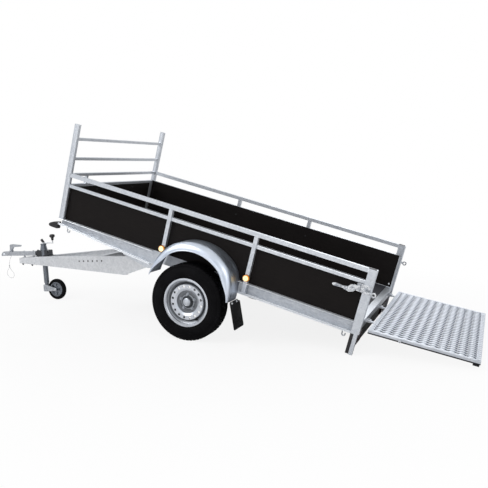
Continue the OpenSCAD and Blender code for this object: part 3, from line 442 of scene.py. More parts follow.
def make_stage():
    """Pale floor and white surroundings. Both look white to the camera and keep a soft shadow."""
    floor_mesh = bpy.data.meshes.new("floor")
    reach = 40.0
    floor_mesh.from_pydata(rectangle((-reach, reach), (-reach, reach), 0), [], [(0, 1, 2, 3)])
    floor = new_object("floor", floor_mesh)
    # Just below the ground, so that the tyres' lowest faces don't flicker in it
    floor.location.z = -0.0005
    mat = bpy.data.materials.new("floor_white")
    mat.use_nodes = True
    nt = mat.node_tree
    nt.nodes.clear()
    path = node(nt, "ShaderNodeLightPath").outputs
    diffuse = node(nt, "ShaderNodeBsdfDiffuse", {"Color": (0.82, 0.82, 0.83, 1)}).outputs[0]
    white = node(nt, "ShaderNodeEmission", {"Color": (1, 1, 1, 1), "Strength": 1.0}).outputs[0]
    # The floor fades to plain white away from the trailer, which leaves the shadow
    away = vector_node(nt, "LENGTH", coords(nt), output="Value")
    fade = math_node(nt, "MULTIPLY", span(nt, away, 0.86, 1.0, 1.2, 3.6), path["Is Camera Ray"])
    mixed = node(nt, "ShaderNodeMixShader", {0: fade, 1: diffuse, 2: white}).outputs[0]
    node(nt, "ShaderNodeOutputMaterial", {"Surface": mixed})
    floor_mesh.materials.append(mat)

    world = bpy.data.worlds.new("studio")
    bpy.context.scene.world = world
    world.use_nodes = True
    nt = world.node_tree
    nt.nodes.clear()
    path = node(nt, "ShaderNodeLightPath").outputs
    up = part_of(nt, node(nt, "ShaderNodeTexCoord").outputs["Generated"], "Z")
    sky = node(nt, "ShaderNodeBackground", {"Color": (1, 1, 1, 1), "Strength": 0.55}).outputs[0]
    seen = node(nt, "ShaderNodeBackground", {"Color": (1, 1, 1, 1), "Strength": 1.0}).outputs[0]
    mirror_tone = ramp(nt, up, [(0.0, (0.95, 0.96, 0.98)), (0.25, (0.75, 0.79, 0.85)), (0.7, (0.98, 0.99, 1.0))])
    mirrored = node(nt, "ShaderNodeBackground", {"Color": mirror_tone, "Strength": 0.85}).outputs[0]
    sharp = math_node(nt, "MAXIMUM", path["Is Glossy Ray"], path["Is Transmission Ray"])
    inner = node(nt, "ShaderNodeMixShader", {0: sharp, 1: sky, 2: mirrored}).outputs[0]
    outer = node(nt, "ShaderNodeMixShader", {0: path["Is Camera Ray"], 1: inner, 2: seen}).outputs[0]
    node(nt, "ShaderNodeOutputWorld", {"Surface": outer})


def make_lights():
    """A large key from the upper front left, a fill from the right, a weak low one in front and one behind."""
    middle = Vector((0, 0, 0.6))
    for name, place, size, power in (
            ("key", (-3.5, -4.5, 5.5), 4.0, 230), ("fill", (5.5, -4.0, 3.0), 4.0, 70),
            ("front", (-0.5, -6.5, 0.9), 2.5, 16), ("back", (1.0, 5.5, 4.0), 4.0, 90)):
        data = bpy.data.lights.new(name, "AREA")
        data.shape, data.size, data.energy = "SQUARE", size, power
        lamp = new_object(name, data)
        lamp.location = place
        lamp.rotation_mode = "QUATERNION"
        lamp.rotation_quaternion = (middle - Vector(place)).to_track_quat("-Z", "Y")


# Shapes

def wheel_frame(centre, hand):
    """Millimetres about a wheel's centre, with Z pointing out on that side."""
    return Matrix.Translation(centre) @ WHEEL_AXES[hand].to_4x4() @ Matrix.Scale(MM, 4)


def facing(place, direction=(0, 0, 1)):
    """Matrix of a place in millimetres whose Z axis points along direction."""
    turn = Vector(direction).to_track_quat("Z", "Y").to_matrix().to_4x4()
    return Matrix.Translation(place) @ turn


def arc(start, end, count):
    """Angles in radians from start to end in degrees."""
    return [radians(start + (end - start) * i / (count - 1)) for i in range(count)]


def polar(radius, angle, z):
    return (radius * cos(angle), radius * sin(angle), z)


def turns(count):
    """Angles in radians of a full turn."""
    return [tau * k / count for k in range(count)]


def rectangle(xs, ys, z, grow=0.0):
    """Four corners at a height, moved outwards by grow."""
    x0, x1, y0, y1 = xs[0] - grow, xs[1] + grow, ys[0] - grow, ys[1] + grow
    return [(x0, y0, z), (x1, y0, z), (x1, y1, z), (x0, y1, z)]


class Shape:
    """The faces of one piece, in millimetres of the frame that it is placed in."""

    def __init__(self, base):
        self.base, self.verts, self.faces = base, [], []

    def loft(self, rings, at=None, closed=False):
        """Quads between rings of equal length, with flat caps unless the rings close on themselves."""
        count, size, start = len(rings), len(rings[0]), len(self.verts)
        faces = []
        for i in range(count if closed else count - 1):
            a, b = i * size, (i + 1) % count * size
            faces += [(a + k, a + (k + 1) % size, b + (k + 1) % size, b + k) for k in range(size)]
        if not closed:
            faces += [tuple(range(size - 1, -1, -1)), tuple(range((count - 1) * size, count * size))]
        at = Matrix() if at is None else at
        self.verts += [at @ Vector(v) for ring in rings for v in ring]
        self.faces += [tuple(start + i for i in face) for face in faces]

    def revolve(self, profile, steps, at=None, closed=False):
        """Profile of (radius, height) turned about Z."""
        self.loft([[polar(r, a, z) for a in turns(steps)] for r, z in profile], at, closed)

    def tube(self, path, radius, sides=12):
        """Round bar along a path; radius may be a function of the point's number."""
        path = [Vector(p) for p in path]
        rings, across = [], None
        for i, p in enumerate(path):
            along = (path[min(i + 1, len(path) - 1)] - path[max(i - 1, 0)]).normalized()
            across = along.orthogonal() if across is None else across
            across = (across - along * across.dot(along)).normalized()
            up = along.cross(across)
            r = radius(i) if callable(radius) else radius
            rings.append([p + r * (cos(a) * across + sin(a) * up) for a in turns(sides)])
        self.loft(rings)

    def bolt(self, at, r, h, washer=0.0, thread=0.0):
        """Hexagon head or nut on a round washer, washer times as wide, with the thread's end over it."""
        if washer:
            self.revolve([(r * washer, -0.4), (r * washer, 1.2), (r * washer - 0.5, 1.6), (r * 0.6, 1.6)], 24, at)
        base = 1.4 if washer else -0.4
        self.loft([[polar(s * r, radians(60 * k), z) for k in range(6)]
                   for s, z in ((1, base), (1, h - 0.8), (0.9, h), (0.6, h))], at)
        if thread:
            ridges = [(r * (0.5 if k % 2 else 0.56), h - 0.3 + thread * k / 8) for k in range(8)]
            self.revolve(ridges + [(r * 0.44, h - 0.3 + thread)], 16, at)

    def dome(self, at, r, h):
        """Round coach bolt head."""
        self.revolve([(r, -0.4), (r, 0.6)] + [(r * cos(a), 0.6 + h * sin(a)) for a in
                                              (0.35, 0.7, 1.05, 1.4)], 24, at)

    def weld(self, a, b, r=2.6):
        """Lumpy bead between two places, with a lump every few millimetres."""
        a, b = Vector(a), Vector(b)
        pitch = 3.2
        count = max(4, int((b - a).length / pitch) * 2)
        self.tube([a.lerp(b, i / count) for i in range(count + 1)],
                  lambda i: r * (0.78 + 0.22 * (i % 2)) * (0.6 if i in (0, count) else 1), 8)

    def make(self, name, slot, body, mat=None, bevel=0.0, angle=35):
        """Turns the faces into one object that rides on a body; edges sharper than angle stay sharp."""
        mesh = bpy.data.meshes.new(name)
        mesh.from_pydata([self.base @ v for v in self.verts], [], self.faces)
        work = bmesh.new()
        work.from_mesh(mesh)
        bmesh.ops.recalc_face_normals(work, faces=work.faces)
        if bevel:
            sharp = [e for e in work.edges if e.is_manifold and e.calc_face_angle(0) > radians(angle)]
            bmesh.ops.bevel(work, geom=sharp, offset=bevel * MM, segments=2, affect="EDGES", profile=0.6,
                            clamp_overlap=True)
        work.to_mesh(mesh)
        work.free()
        mesh.shade_smooth()
        mesh.set_sharp_from_angle(angle=radians(angle))
        mesh.materials.append(MATS[mat or slot])
        made = new_object(name, mesh)
        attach(made, body)
        return made


# Cable

# Its start in the drawbar's frame, and its route from there along the world's axes
CABLE_START = (-1992, -30, -11)
CABLE_ROUTE = [
    (0, 0, 3), (-6, 0, -10), (-15, 0, -25), (-22, 0, -42), (-27, 0, -60), (-31, 0, -80), (-33, 0, -100),
    (-26, 1, -124), (-9, 2, -146), (10, 3, -165), (22, 3, -186), (20, 3, -205), (6, 3, -219), (-16, 3, -225),
    (-40, 3, -219), (-60, 3, -201), (-69, 3, -178), (-61, 3, -155), (-48, 4, -134), (-36, 5, -116)]


def make_cable():
    """Breakaway cable: it hangs from the coupling, and its end is crimped back into a loop."""
    start = IN_DRAWBAR @ Vector(CABLE_START)
    route = [start + MM * Vector(p) for p in CABLE_ROUTE]
    curve = bpy.data.curves.new("breakaway_wire", "CURVE")
    curve.dimensions = "3D"
    curve.bevel_depth = 0.0015
    curve.bevel_resolution = 4
    curve.use_fill_caps = True
    spline = curve.splines.new("POLY")
    spline.points.add(len(route) - 1)
    for point, place in zip(spline.points, route):
        point.co = (*place, 1)
    curve.materials.append(MATS["cable"])
    cable = new_object("breakaway_wire", curve)
    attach(cable, "drawbar")
    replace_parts(cable, "breakaway_cable")
    crimp = Shape(Matrix.Translation(start) @ Matrix.Scale(MM, 4))
    crimp.revolve([(1.6, -12), (3.6, -12), (4.2, -10.5), (4.2, -4), (3.7, -3), (3.7, 3), (4.2, 4), (4.2, 10.5),
                   (3.6, 12), (1.6, 12)], 24, facing((-33, 2, -108), (-1, -2, 22)))
    crimp = crimp.make("cable_crimp", "cable", "drawbar")


# Wheels

def tyre_profile():
    """Outer half of the tyre from the bead to the middle of the tread, with rings in the sidewall."""
    points = [(RIM_R + 0.3, 47), (RIM_R + 0.3, 56.6), (FLANGE_R + 2, 60.6), (FLANGE_R + 2, TYRE_HALF - 7.5),
              (FLANGE_R + 4, TYRE_HALF - 5), (FLANGE_R + 8, TYRE_HALF - 4.6), (FLANGE_R + 10, TYRE_HALF - 5.6)]
    bulge_r, bulge_z = 50, 22
    for degrees in range(-24, 61, 4):
        a, lift = radians(degrees), 0.9 if degrees % 16 in (0, 4) else 0.0
        r, z = RIM_R + bulge_r + bulge_r * sin(a), TYRE_HALF - bulge_z + bulge_z * cos(a)
        points.append((r, z - 1.0 + lift))
    points += [(264, 64.6), (269, 64.4), (271, 65.2), (276, 63.6), (281, 61.2), (285, 58.4), (287.6, 55.2)]
    for rib_edge, groove in ((51, 34), (22, 11)):
        points += [(WHEEL_R, rib_edge), (WHEEL_R, groove + 2.8), (WHEEL_R - 7, groove + 1.9),
                   (WHEEL_R - 7, groove - 1.9), (WHEEL_R, groove - 2.8)]
    return points + [(WHEEL_R, 4)]


def make_tyre(hand, side, centre):
    """Tread blocks are cut by slots across the ribs, which lean back towards the shoulders."""
    half = tyre_profile()
    profile = half + [(r, -z) for r, z in reversed(half)]
    pitches, slot_depth = 60, 5.5
    step = tau / pitches
    rings = []
    for k in range(pitches):
        for part, low in ((0.0, 0), (0.03, 1), (0.15, 1), (0.18, 0), (0.58, 0)):
            ring = []
            for r, z in profile:
                on_tread, on_shoulder = r > WHEEL_R - 1.6, WHEEL_R - 21 < r <= WHEEL_R - 1.6 and abs(z) > 50
                lean = 0.9 * copysign(1, z) * min(1, abs(z) / 64) ** 2 if on_tread or on_shoulder else 0
                angle = (k + part + lean) * step
                cut = slot_depth * low * (1.0 if on_tread else 0.6 if on_shoulder else 0)
                ring.append(polar(r - cut, angle, z))
            rings.append(ring)
    tyre = Shape(wheel_frame(centre, hand))
    tyre.loft(rings, closed=True)
    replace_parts(tyre.make(side + "_tread_tyre", "tyre", side + "_wheel", angle=40), side + "_tyre")


def make_wheel_fittings(hand, side, centre):
    """Five bolts on their seats, a valve that leans inwards, and raised rings round the hub and its cap."""
    bolt_circle_r, valve_r, valve_turn = 57, 151, radians(-57)
    base = wheel_frame(centre, hand)
    bolts = Shape(base)
    for a in arc(90, 378, 5):
        at = Matrix.Translation(polar(bolt_circle_r, a, 25.6))
        bolts.revolve([(12.5, -0.4), (12.5, 2.2), (10.5, 4.4), (6, 4.4)], 24, at)
        bolts.bolt(at @ Matrix.Translation((0, 0, 4)), 8.6, 9)
    bolts.make(side + "_wheel_bolts", "galvanised", side + "_wheel", "wheel_bolt")
    valve = Shape(base)
    at = facing(polar(valve_r, valve_turn, 37), polar(-0.45, valve_turn, 0.9))
    valve.revolve([(7.5, 0), (7.5, 3), (5.2, 6), (4.8, 17), (5.4, 18), (5.4, 25), (4.4, 27), (2, 27.5)], 20, at)
    valve.make(side + "_valve", "rubber", side + "_wheel")
    rings = Shape(base)
    rings.revolve([(36, 31.6), (38.5, 34.2), (36.5, 35.4), (33.4, 35.4), (32.2, 33), (32.2, 31.6)], 64, closed=True)
    rings.revolve([(24.6, 52.4), (25.6, 53.6), (24, 54.2), (22.8, 53.3)], 48, closed=True)
    rings.make(side + "_hub_rings", "rim", side + "_wheel")


def make_jockey_wheel():
    """Solid tyre with rounded shoulders, and the nuts of its axle."""
    base = wheel_frame(JOCKEY_WHEEL, -1)
    tyre = Shape(base)
    wall = [(70, -16.5), (73, -17.6), (84, -18.2), (86, -18.9)] + [
        (JOCKEY_R - 12 + 12 * sin(a), -19 * cos(a) ** 0.8) for a in arc(14, 84, 7)]
    profile = wall + [(JOCKEY_R, 0)] + [(r, -z) for r, z in reversed(wall)]
    tyre.revolve(profile, 96, closed=True)
    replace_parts(tyre.make("jockey_solid_tyre", "tyre", "jockey_wheel"), "jockey_tyre")
    nuts = Shape(base)
    for direction in (1, -1):
        nuts.bolt(facing((0, 0, 29.2 * direction), (0, 0, direction)), 9, 8, 1.4)
    nuts.make("jockey_axle_nuts", "galvanised", "jockey_fork", "bolt_zinc")


# Ramp

def make_ramp_grip():
    """Bars pressed across the planks, which follow their crowns and bridge the joints between them."""
    grip = Shape(IN_RAMP)
    half, count = RAMP_W / 2 - 3, 29
    first, last = RAMP_EDGE + RAMP_RIM, RAMP_L - RAMP_RIM
    line = [(RAMP_EDGE + 1.5, 0.2), (RAMP_EDGE + 5, 2.4), (first - 4, 2.4), (first, 1.0)]
    for x in range(first, last - 19, PLANK_PITCH):
        line += [(x + s * PLANK_PITCH, z) for s, z in ((0.1, -2.6), (0.3, 1.2), (0.5, 1.6), (0.7, 1.2), (0.9, -2.6))]
    line += [(last, 1.0), (last + 4, 2.4), (RAMP_L - 5, 2.4), (RAMP_L - 1.5, 0.2)]
    pitch = 2 * half / count
    section = ((-10, -1.2), (-7, 0.9), (-3, 1.9), (3, 1.9), (7, 0.9), (10, -1.2))
    for i in range(count):
        y = -half + (i + 0.5) * pitch
        grip.loft([[(x, y + aside, z + lift) for aside, lift in section] for x, z in line])
    grip.make("ramp_teeth", "ramp_plank", "ramp", "ramp_tooth", angle=25)


def make_ramp_rivets():
    """Rivets along the frame, and the welds and end collars of its side lugs."""
    edge = Shape(IN_RAMP)
    for hand in HANDS:
        for x in range(120, RAMP_L - 30, 160):
            edge.dome(facing((x, hand * (RAMP_W / 2 - RAMP_RIM / 2), 0)), 6, 2)
        root = hand * (RAMP_W / 2 + 1)
        for z in (-5, -21):
            edge.weld((RAMP_LUG_X - 8, root, z), (RAMP_LUG_X + 8, root, z), 2.2)
        edge.revolve([(7, 0), (9.5, 0), (9.5, 3), (7, 3)], 24,
                     facing((RAMP_LUG_X, hand * (POST_OUTER + 26), -13), (0, hand, 0)), closed=True)
    edge.make("ramp_rivets", "galvanised", "ramp", "bolt_zinc")


# Fasteners and fittings

def make_board_fasteners():
    """Coach bolts inside the boards, and screws in the floor."""
    bright, dark = Shape(IN_BED), Shape(IN_BED)
    for hand in HANDS:
        inner = hand * BOARD_INNER
        bright.dome(facing((BED_REAR - 36, inner, 29), (0, -hand, 0)), 7, 3.5)
        for x in (FRONT_POST_X, MID_POST_X):
            for z in (110, 215):
                dark.dome(facing((x, inner, z), (0, -hand, 0)), 7, 1.8)
    for y in (-560, -280, 0, 280, 560):
        for z in (FRONT_BOARD_H - 45, 30):
            dark.dome(facing((FRONT_BOARD_FACE, y, z), (1, 0, 0)), 8, 3)
    bright.make("board_bolts_bright", "galvanised", "bed", "bolt_zinc")
    dark.make("board_bolts_dark", "black_metal", "bed", "bolt_black")
    screws = Shape(IN_BED)
    for x in BEARERS:
        for i in range(9):
            screws.revolve([(4.8, -0.2), (4.8, 0.3), (3.6, 0.7), (1.4, 0.3), (1.0, 0.1)], 16,
                           Matrix.Translation((x + 4 * (i % 2), -560 + 140 * i, 0)))
    screws.make("floor_screws", "black_metal", "bed")


def make_rack_posts():
    """Posts of the front rack, with broken corners."""
    posts = Shape(IN_BED)
    (x0, x1), c = RACK_POST_X, 3
    for hand in HANDS:
        y0, y1 = sorted((hand * SIDE, hand * POST_OUTER))
        posts.loft([[(x0 + c, y0, z), (x1 - c, y0, z), (x1, y0 + c, z), (x1, y1 - c, z), (x1 - c, y1, z),
                     (x0 + c, y1, z), (x0, y1 - c, z), (x0, y0 + c, z)] for z in (2, RACK_H)])
    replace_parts(posts.make("rack_post_tubes", "galvanised", "bed", angle=50), "rack_posts")


def make_corner_strips():
    """Thin sheets on the front board beside the rack posts, and on two faces of each rear post."""
    strips = Shape(IN_BED)
    x0, x1, low, top = BED_REAR - 17, BED_REAR - 0.5, -78, RAIL_H + 14
    for hand in HANDS:
        y0, y1 = sorted((hand * (BOARD_INNER - 46), hand * (BOARD_INNER + 0.5)))
        strips.loft([[(x, y0 + g, 1), (x, y1 - g, 1), (x, y1 - g, BOARD_H), (x, y0 + g, BOARD_H)] for x, g in
                     ((FRONT_BOARD_FACE - 0.4, 0), (FRONT_BOARD_FACE + 1.6, 0), (FRONT_BOARD_FACE + 2.6, 1))])
        strips.loft([[(x0 + g, hand * y, 1 + g), (x1, hand * y, 1 + g), (x1, hand * y, BOARD_H - g),
                      (x0 + g, hand * y, BOARD_H - g)] for y, g in
                     ((BOARD_INNER + 0.5, 0), (BOARD_INNER - 1, 0), (BOARD_INNER - 1.8, 0.8))])
        y0, y1 = sorted((hand * (BOARD_INNER + 1), hand * POST_OUTER))
        strips.loft([[(x, y0 + g, low + g), (x, y1 - g, low + g), (x, y1 - g, top - g), (x, y0 + g, top - g)]
                     for x, g in ((BED_REAR - 0.3, 0), (BED_REAR + 7, 0), (BED_REAR + 9, 1.6))])
    strips.make("corner_strips", "galvanised", "bed", angle=20)


def make_post_caps():
    """Plastic caps in the rear posts' upper ends, flat steel ones on the rack posts."""
    rear, rack = Shape(IN_BED), Shape(IN_BED)
    rear_top = RAIL_H + TUBE / 2
    for hand in HANDS:
        ys = sorted((hand * SIDE, hand * POST_OUTER))
        rear.loft([rectangle((BED_REAR - REAR_POST_W, BED_REAR), ys, rear_top + lift, grow) for grow, lift in
                   ((0.6, -0.4), (0.8, 1.6), (-1.0, 3.2), (-3.0, 3.6))])
        rack.loft([rectangle(RACK_POST_X, ys, RACK_H + lift, grow) for grow, lift in
                   ((0.2, -0.4), (0.4, 1.4), (-1.2, 2.6), (-3.0, 2.8))])
    rear.make("rear_post_caps", "black_plastic", "bed", angle=20)
    rack.make("rack_post_caps", "galvanised", "bed", angle=20)


def make_bed_bolts():
    """Bolts of the latch plates, light board, sill flanges and bearers, and washers on the hinge pins."""
    bolts = Shape(IN_BED)
    latch_rear, latch_h, hinge_z, washer_y, bearer_z = BED_REAR - 13, 261, -21, 22.4, -50
    for hand in HANDS:
        for x, z in ((latch_rear - 43, latch_h), (latch_rear, latch_h), (latch_rear - 43, latch_h - 39)):
            bolts.bolt(facing((x, hand * (POST_OUTER + 6), z), (0, hand, 0)), 5.5, 4.6, 1.6)
        for z in (-98, -212):
            for y in (60, 330, 640):
                bolts.dome(facing((LIGHT_FACE, hand * y, z), (1, 0, 0)), 6, 2.4)
        # Bolt of the sill's lower flange ahead of the tilt pivot
        bolts.bolt(facing((-505, hand * 666, -102.5), (0.175, 0, 1)), 8, 7, 1.7, 3)
    for place in HINGE_PLACES:
        for e in (-1, 1):
            bolts.revolve([(4.1, 0), (7.5, 0), (7.5, 1.4), (4.1, 1.4)], 24,
                          facing((BED_REAR + HINGE_X, place + e * washer_y, hinge_z), (0, e, 0)), closed=True)
    for x in BEARERS:
        for hand in HANDS:
            for dx in (-10, 10):
                bolts.bolt(facing((x + dx, hand * 560, bearer_z), (0, 0, -1)), 6, 5, 1.6, 4)
    bolts.make("bed_bolts", "galvanised", "bed", "bolt_zinc")


def make_welds():
    """Weld beads where rails, posts and rack bars meet."""
    beads = Shape(IN_BED)
    under, over, half = RAIL_H - TUBE / 2, RAIL_H + TUBE / 2, SLIM_TUBE / 2
    rear, front, bar_x = BED_REAR - REAR_POST_W, -BED_FRONT + TUBE, -BED_FRONT + TUBE / 2 - half
    for hand in HANDS:
        outer, inner, slim, end = (hand * y for y in (POST_OUTER - 0.3, SIDE + 0.3, SIDE + SLIM_TUBE, SIDE - 0.5))
        for x in (FRONT_POST_X, MID_POST_X):
            edges = (x - TUBE / 2, x + TUBE / 2)
            beads.weld((edges[0] + 1, outer, under), (edges[1] - 1, outer, under))
            for edge in edges:
                beads.weld((edge, outer, under), (edge, inner, under))
            for z in (BOARD_H - SLIM_TUBE + 2, BOARD_H - 2):
                for edge in edges:
                    beads.weld((edge, slim, z), (edge, hand * (SIDE + 4), z), 2.2)
        for z in (under + 1, over - 1):
            beads.weld((rear, outer, z), (rear, inner, z))
        beads.weld((rear, outer, under), (rear, outer, over))
        beads.weld((rear, slim, BOARD_H - SLIM_TUBE), (rear, slim, BOARD_H))
        beads.weld((front, outer, under), (front, outer, over))
        for z in (under, over):
            beads.weld((front, outer, z), (front, inner, z))
        for h in BAR_HEIGHTS:
            for z in (h - half, h + half):
                beads.weld((bar_x + 1, end, z), (bar_x + SLIM_TUBE - 1, end, z), 2.2)
            for x in (bar_x, bar_x + SLIM_TUBE):
                beads.weld((x, end, h - half + 1), (x, end, h + half - 1), 2.2)
    beads.make("bed_welds", "galvanised", "bed")


def make_side_lamps():
    """Domed centres and rubber seats of the side lamps, above each guard and on each mid post."""
    centre, seat = Shape(IN_BED), Shape(IN_BED)
    front_x = FRONT_POST_X - 6
    front_h = GUARD_LIFT - AXLE_DROP + sqrt((GUARD_R + SIDE_LAMP_R + 3) ** 2 - front_x ** 2)
    for hand in HANDS:
        for x, h in ((front_x, front_h), (MID_POST_X, 42)):
            at = facing((x, hand * POST_OUTER, h), (0, hand, 0))
            rings = [(20.4 - 1.2 * i, 17.2 + (0.7 if i % 2 else 0.0) + 1.4 * sin(i / 10)) for i in range(16)]
            centre.revolve([(20.4, 16.4)] + rings + [(1.0, 19.2)], 48, at)
            seat.revolve([(24.4, 0.2), (26.6, 0.2), (27.0, 1.4), (26.0, 3.2), (24.4, 3.6)], 48, at, closed=True)
    centre.make("side_lamp_centres", "amber_lens", "bed", "amber_centre", angle=60)
    seat.make("side_lamp_seats", "rubber", "bed")


def make_tail_lamps():
    """Three ribbed fields on the face of each tail lamp."""
    fields = Shape(IN_BED)
    x, z0, z1 = LIGHT_FACE + 14, -TAIL_LAMP_DROP - TAIL_LAMP_H + 6, -TAIL_LAMP_DROP - 6
    for hand in HANDS:
        y0 = hand * (SIDE - 20) - (TAIL_LAMP_W if hand > 0 else 0)
        for start, end in ((6, 72), (78, 144), (150, 214)):
            count = int((end - start) / 5.5)
            pitch = (end - start) / count
            ridges = [(x + out, y0 + start + i * pitch + share * pitch) for i in range(count)
                      for out, share in ((0.4, 0), (2.6, 0.35), (2.6, 0.65))]
            outline = [(x - 0.6, y0 + start)] + ridges + [(x + 0.4, y0 + end), (x - 0.6, y0 + end)]
            fields.loft([[(px, py, z) for px, py in outline] for z in (z0, z1)])
    fields.make("tail_lamp_fields", "red_lens", "bed", angle=25)


def make_markers():
    """Moulded wedges of the front marker lamps: one outline from the side, drawn in at both ends."""
    marker = Shape(IN_BED)
    outline = [(-1408, -76), (-1407, -66), (-1396, -55), (-1366, -40), (-BED_FRONT, -29), (-BED_FRONT, -86),
               (-1374, -87), (-1400, -84)]
    mid = Vector((-1360, 0, -62))
    for hand in HANDS:
        marker.loft([[(mid.x + s * (x - mid.x) if x < -BED_FRONT else x, hand * (SIDE + y), mid.z + s * (z - mid.z))
                      for x, z in outline] for s, y in ((0.86, -5), (1, -3), (1, 37), (0.86, 40))])
    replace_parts(marker.make("marker_housings", "black_plastic", "bed", bevel=1.2), "marker_lamps")


# Mudguards, flaps, sills and drawbar

def eased(value, start, end):
    """0 up to start, 1 from end on, and a smooth rise between them."""
    t = min(1.0, max(0.0, (value - start) / (end - start)))
    return t * t * (3 - 2 * t)


def guard_radius(turn):
    """Crown radius in millimetres at an angle in degrees from the rear: the arc curves in at both ends."""
    return GUARD_R - 44 * eased(turn, 112, 176) - 44 * eased(52 - turn, 0, 46)


def make_mudguards():
    """Sheet guards with a rounded shoulder and a skirt that runs out to a point at both ends."""
    shoulder, sheet, y0, y1 = 55, 2.5, SIDE + 0.3, SIDE + 194.3
    rounded = [(shoulder * sin(a) - shoulder, y1 - shoulder + shoulder * cos(a))
               for a in arc(90, 0, 9)]
    outer = [(0, y0 + (y1 - shoulder - y0) * i / 12) for i in range(12)] + rounded + [(-shoulder - 4, y1)]
    steps, last = 80, 170
    for hand, side in SIDES:
        rings, path = [], []
        for i in range(steps + 1):
            skins = ([], [])
            for j, (inward, y) in enumerate(outer):
                # The rear end stays higher up over the sill than outside it
                first = 28.5 - 18.5 * eased(y, 690, 704)
                turn = first + (last - first) * i / steps
                a = radians(turn)
                # Towards the ends the skirt grows shallower, and so does the shoulder above it
                fade = 1 - 0.7 * max(eased(40 - turn, 0, 30), eased(turn, 136, last))
                r = guard_radius(turn) + inward * fade
                before, after = outer[max(j - 1, 0)], outer[min(j + 1, len(outer) - 1)]
                along = Vector((after[0] - before[0], after[1] - before[1])).normalized()
                for skin, depth in zip(skins, (0, sheet)):
                    rr, yy = r - depth * along.y, y + depth * along.x
                    skin.append((rr * cos(a), hand * yy, GUARD_LIFT - AXLE_DROP + rr * sin(a)))
            rings.append(skins[0] + skins[1][::-1])
            edge_point = Vector(skins[0][-1])
            path.append((edge_point.x, hand * (y1 - 1.2), edge_point.z))
        guard = Shape(IN_BED)
        guard.loft(rings)
        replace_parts(guard.make(side + "_guard_sheet", "mudguard", "bed", angle=50), side + "_mudguard")
        edge = Shape(IN_BED)
        edge.tube(path, 2.4, 8)
        edge.make(side + "_guard_edge", "mudguard", "bed")


def make_flaps():
    """Mud flaps under the guards' rear ends, with a raised border, grooves and two bolts each."""
    base = IN_BED @ Matrix.Translation((350, 0, -121)) @ Matrix.Rotation(radians(-24), 4, "Y")
    flaps, border, bolts = Shape(base), Shape(base), Shape(base)
    y0, y1, low, r = SIDE + 12, SIDE + 187, -204, 12
    corners = [(y0 + r - r * sin(a), low + r - r * cos(a)) for a in arc(90, 0, 5)]
    corners += [(y1 - r + r * sin(a), low + r - r * cos(a)) for a in arc(0, 90, 5)]
    outline = [(y0 + 38, 0), (y0 + 38, -8), (y0, -20)] + corners + [(y1, -8), (y1 - 8, 0)]
    mid = Vector(((y0 + y1) / 2, low / 2))
    strips = [(y0 + 5, y0 + 10, low + 16, -30), (y1 - 10, y1 - 5, low + 16, -30),
              (y0 + 16, y1 - 16, low + 5, low + 10)] + [(y0 + 18, y1 - 18, z, z + 3.5) for z in (-158, -148, -138)]
    for hand in HANDS:
        flaps.loft([[(x, hand * (mid.x + s * (y - mid.x)), mid.y + s * (z - mid.y)) for y, z in outline]
                    for x, s in ((-5, 0.985), (-4, 1), (-1, 1), (0, 0.985))])
        for face, out in ((0.0, 1), (-5.0, -1)):
            for ya, yb, za, zb in strips:
                ya, yb = sorted((hand * ya, hand * yb))
                rings = [[(x, ya + g, za + g), (x, yb - g, za + g), (x, yb - g, zb - g), (x, ya + g, zb - g)]
                         for x, g in ((face - 0.6 * out, 0), (face + 1.0 * out, 0), (face + 1.7 * out, 0.8))]
                border.loft(rings if out > 0 else rings[::-1])
        for y in (y0 + 62, y1 - 30):
            bolts.bolt(facing((0, hand * y, -13), (1, 0, 0)), 6, 5, 1.7, 3)
    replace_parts(flaps.make("mud_flap_sheets", "rubber", "bed"), "mud_flaps")
    border.make("flap_borders", "rubber", "bed")
    bolts.make("flap_bolts", "galvanised", "bed", "bolt_zinc")


def make_folds():
    """Rounded folds along the sills' flanges and lips, where the pressed sheet catches the light, in a paler zinc
    that is a painted highlight.
    """
    folds = Shape(IN_BED)
    sills = ((-BED_FRONT + 1, -424, SILL_FRONT_DEPTH, SILL_MID_DEPTH),
             (301, BED_REAR - 51, SILL_REAR_DEPTH, SILL_REAR_DEPTH))
    for hand in HANDS:
        lower, upper = hand * (SILL_OUTER - 0.6), hand * (SILL_OUTER - 0.2)
        for x0, x1, d0, d1 in sills:
            for lift in (1.4, 12.6):
                folds.tube([(x0, lower, -d0 + lift), (x1, lower, -d1 + lift)], 2.6)
            folds.tube([(x0, upper, 1.5), (x1, upper, 1.5)], 2.4)
    folds.make("sill_folds", "galvanised", "bed", "fold_highlight_zinc")


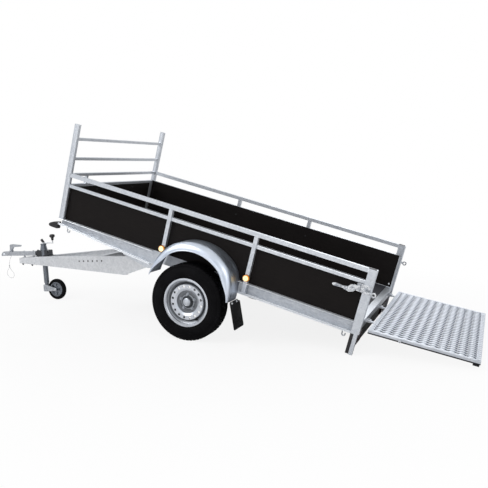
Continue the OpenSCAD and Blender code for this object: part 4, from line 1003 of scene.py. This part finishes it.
def make_drawbar_fasteners():
    """Bolts of the coupling's spacers, the jockey clamp and the tilt pivots, and grommets in the arms' holes."""
    dark, bright, plugs = Shape(IN_DRAWBAR), Shape(IN_DRAWBAR), Shape(IN_DRAWBAR)
    clamp_x, handle_x, first_hole_x, first_hole_z, hole_rise, pivot_end = -1656, -2014, -991, -31, 3.9, 655.2
    for x, low, high in ((-1853, -84.5, 26.6), (-1740, -94.3, 29.6)):
        for y in (-30, 30):
            dark.bolt(facing((x, y, low), (0, 0, -1)), 10, 12, 1.35, 6)
        bright.revolve([(12, high - 3.6), (12, high + 1.0), (11.4, high + 1.6), (6, high + 1.6)], 24,
                       Matrix.Translation((x, 0, 0)))
        bright.bolt(facing((x, 0, high + 1.4)), 9, 7)
    for y in (-29, 29):
        dark.bolt(facing((clamp_x, y, 40)), 7, 6, 1.5, 3)
    spread = atan2(ARM_HALF - NOSE_HALF, BEND_X)
    for hand in HANDS:
        bright.bolt(facing((0, hand * pivot_end, 0), (0, hand, 0)), 9.5, 6)
        for i in range(HOLE_COUNT):
            x, z = first_hole_x + HOLE_PITCH * i, first_hole_z + hole_rise * i
            y = NOSE_HALF + (BEND_X + x) * tan(spread)
            out = (-sin(spread), hand * cos(spread), 0)
            plugs.revolve([(5.9, -3.5), (5.9, 0.2), (8.2, 0.2), (8.2, 0.9), (7.4, 1.5), (4.6, 1.5), (3.4, -1.5),
                           (3.4, -3.5)], 24, facing((x, hand * y, z), out))
    for e in (-1, 1):
        bright.revolve([(4.1, 0), (7, 0), (7, 1.4), (4.1, 1.4)], 24,
                       facing((handle_x, e * 18.4, 39), (0, e, 0)), closed=True)
    plugs.make("arm_grommets", "black_plastic", "drawbar")
    dark.make("nose_bolts", "black_metal", "drawbar")
    bright.make("drawbar_bolts", "galvanised", "drawbar", "bolt_zinc")


bpy.context.scene.view_settings.view_transform = "Standard"
make_camera()
make_cable()
dress_nodes()
for (hand, side), wheel in zip(SIDES, (LEFT_WHEEL, RIGHT_WHEEL)):
    make_tyre(hand, side, wheel)
    make_wheel_fittings(hand, side, wheel)
make_jockey_wheel()
make_ramp_grip()
make_ramp_rivets()
make_board_fasteners()
make_rack_posts()
make_corner_strips()
make_post_caps()
make_bed_bolts()
make_welds()
make_side_lamps()
make_tail_lamps()
make_markers()
make_mudguards()
make_flaps()
make_folds()
make_drawbar_fasteners()
make_stage()
make_lights()
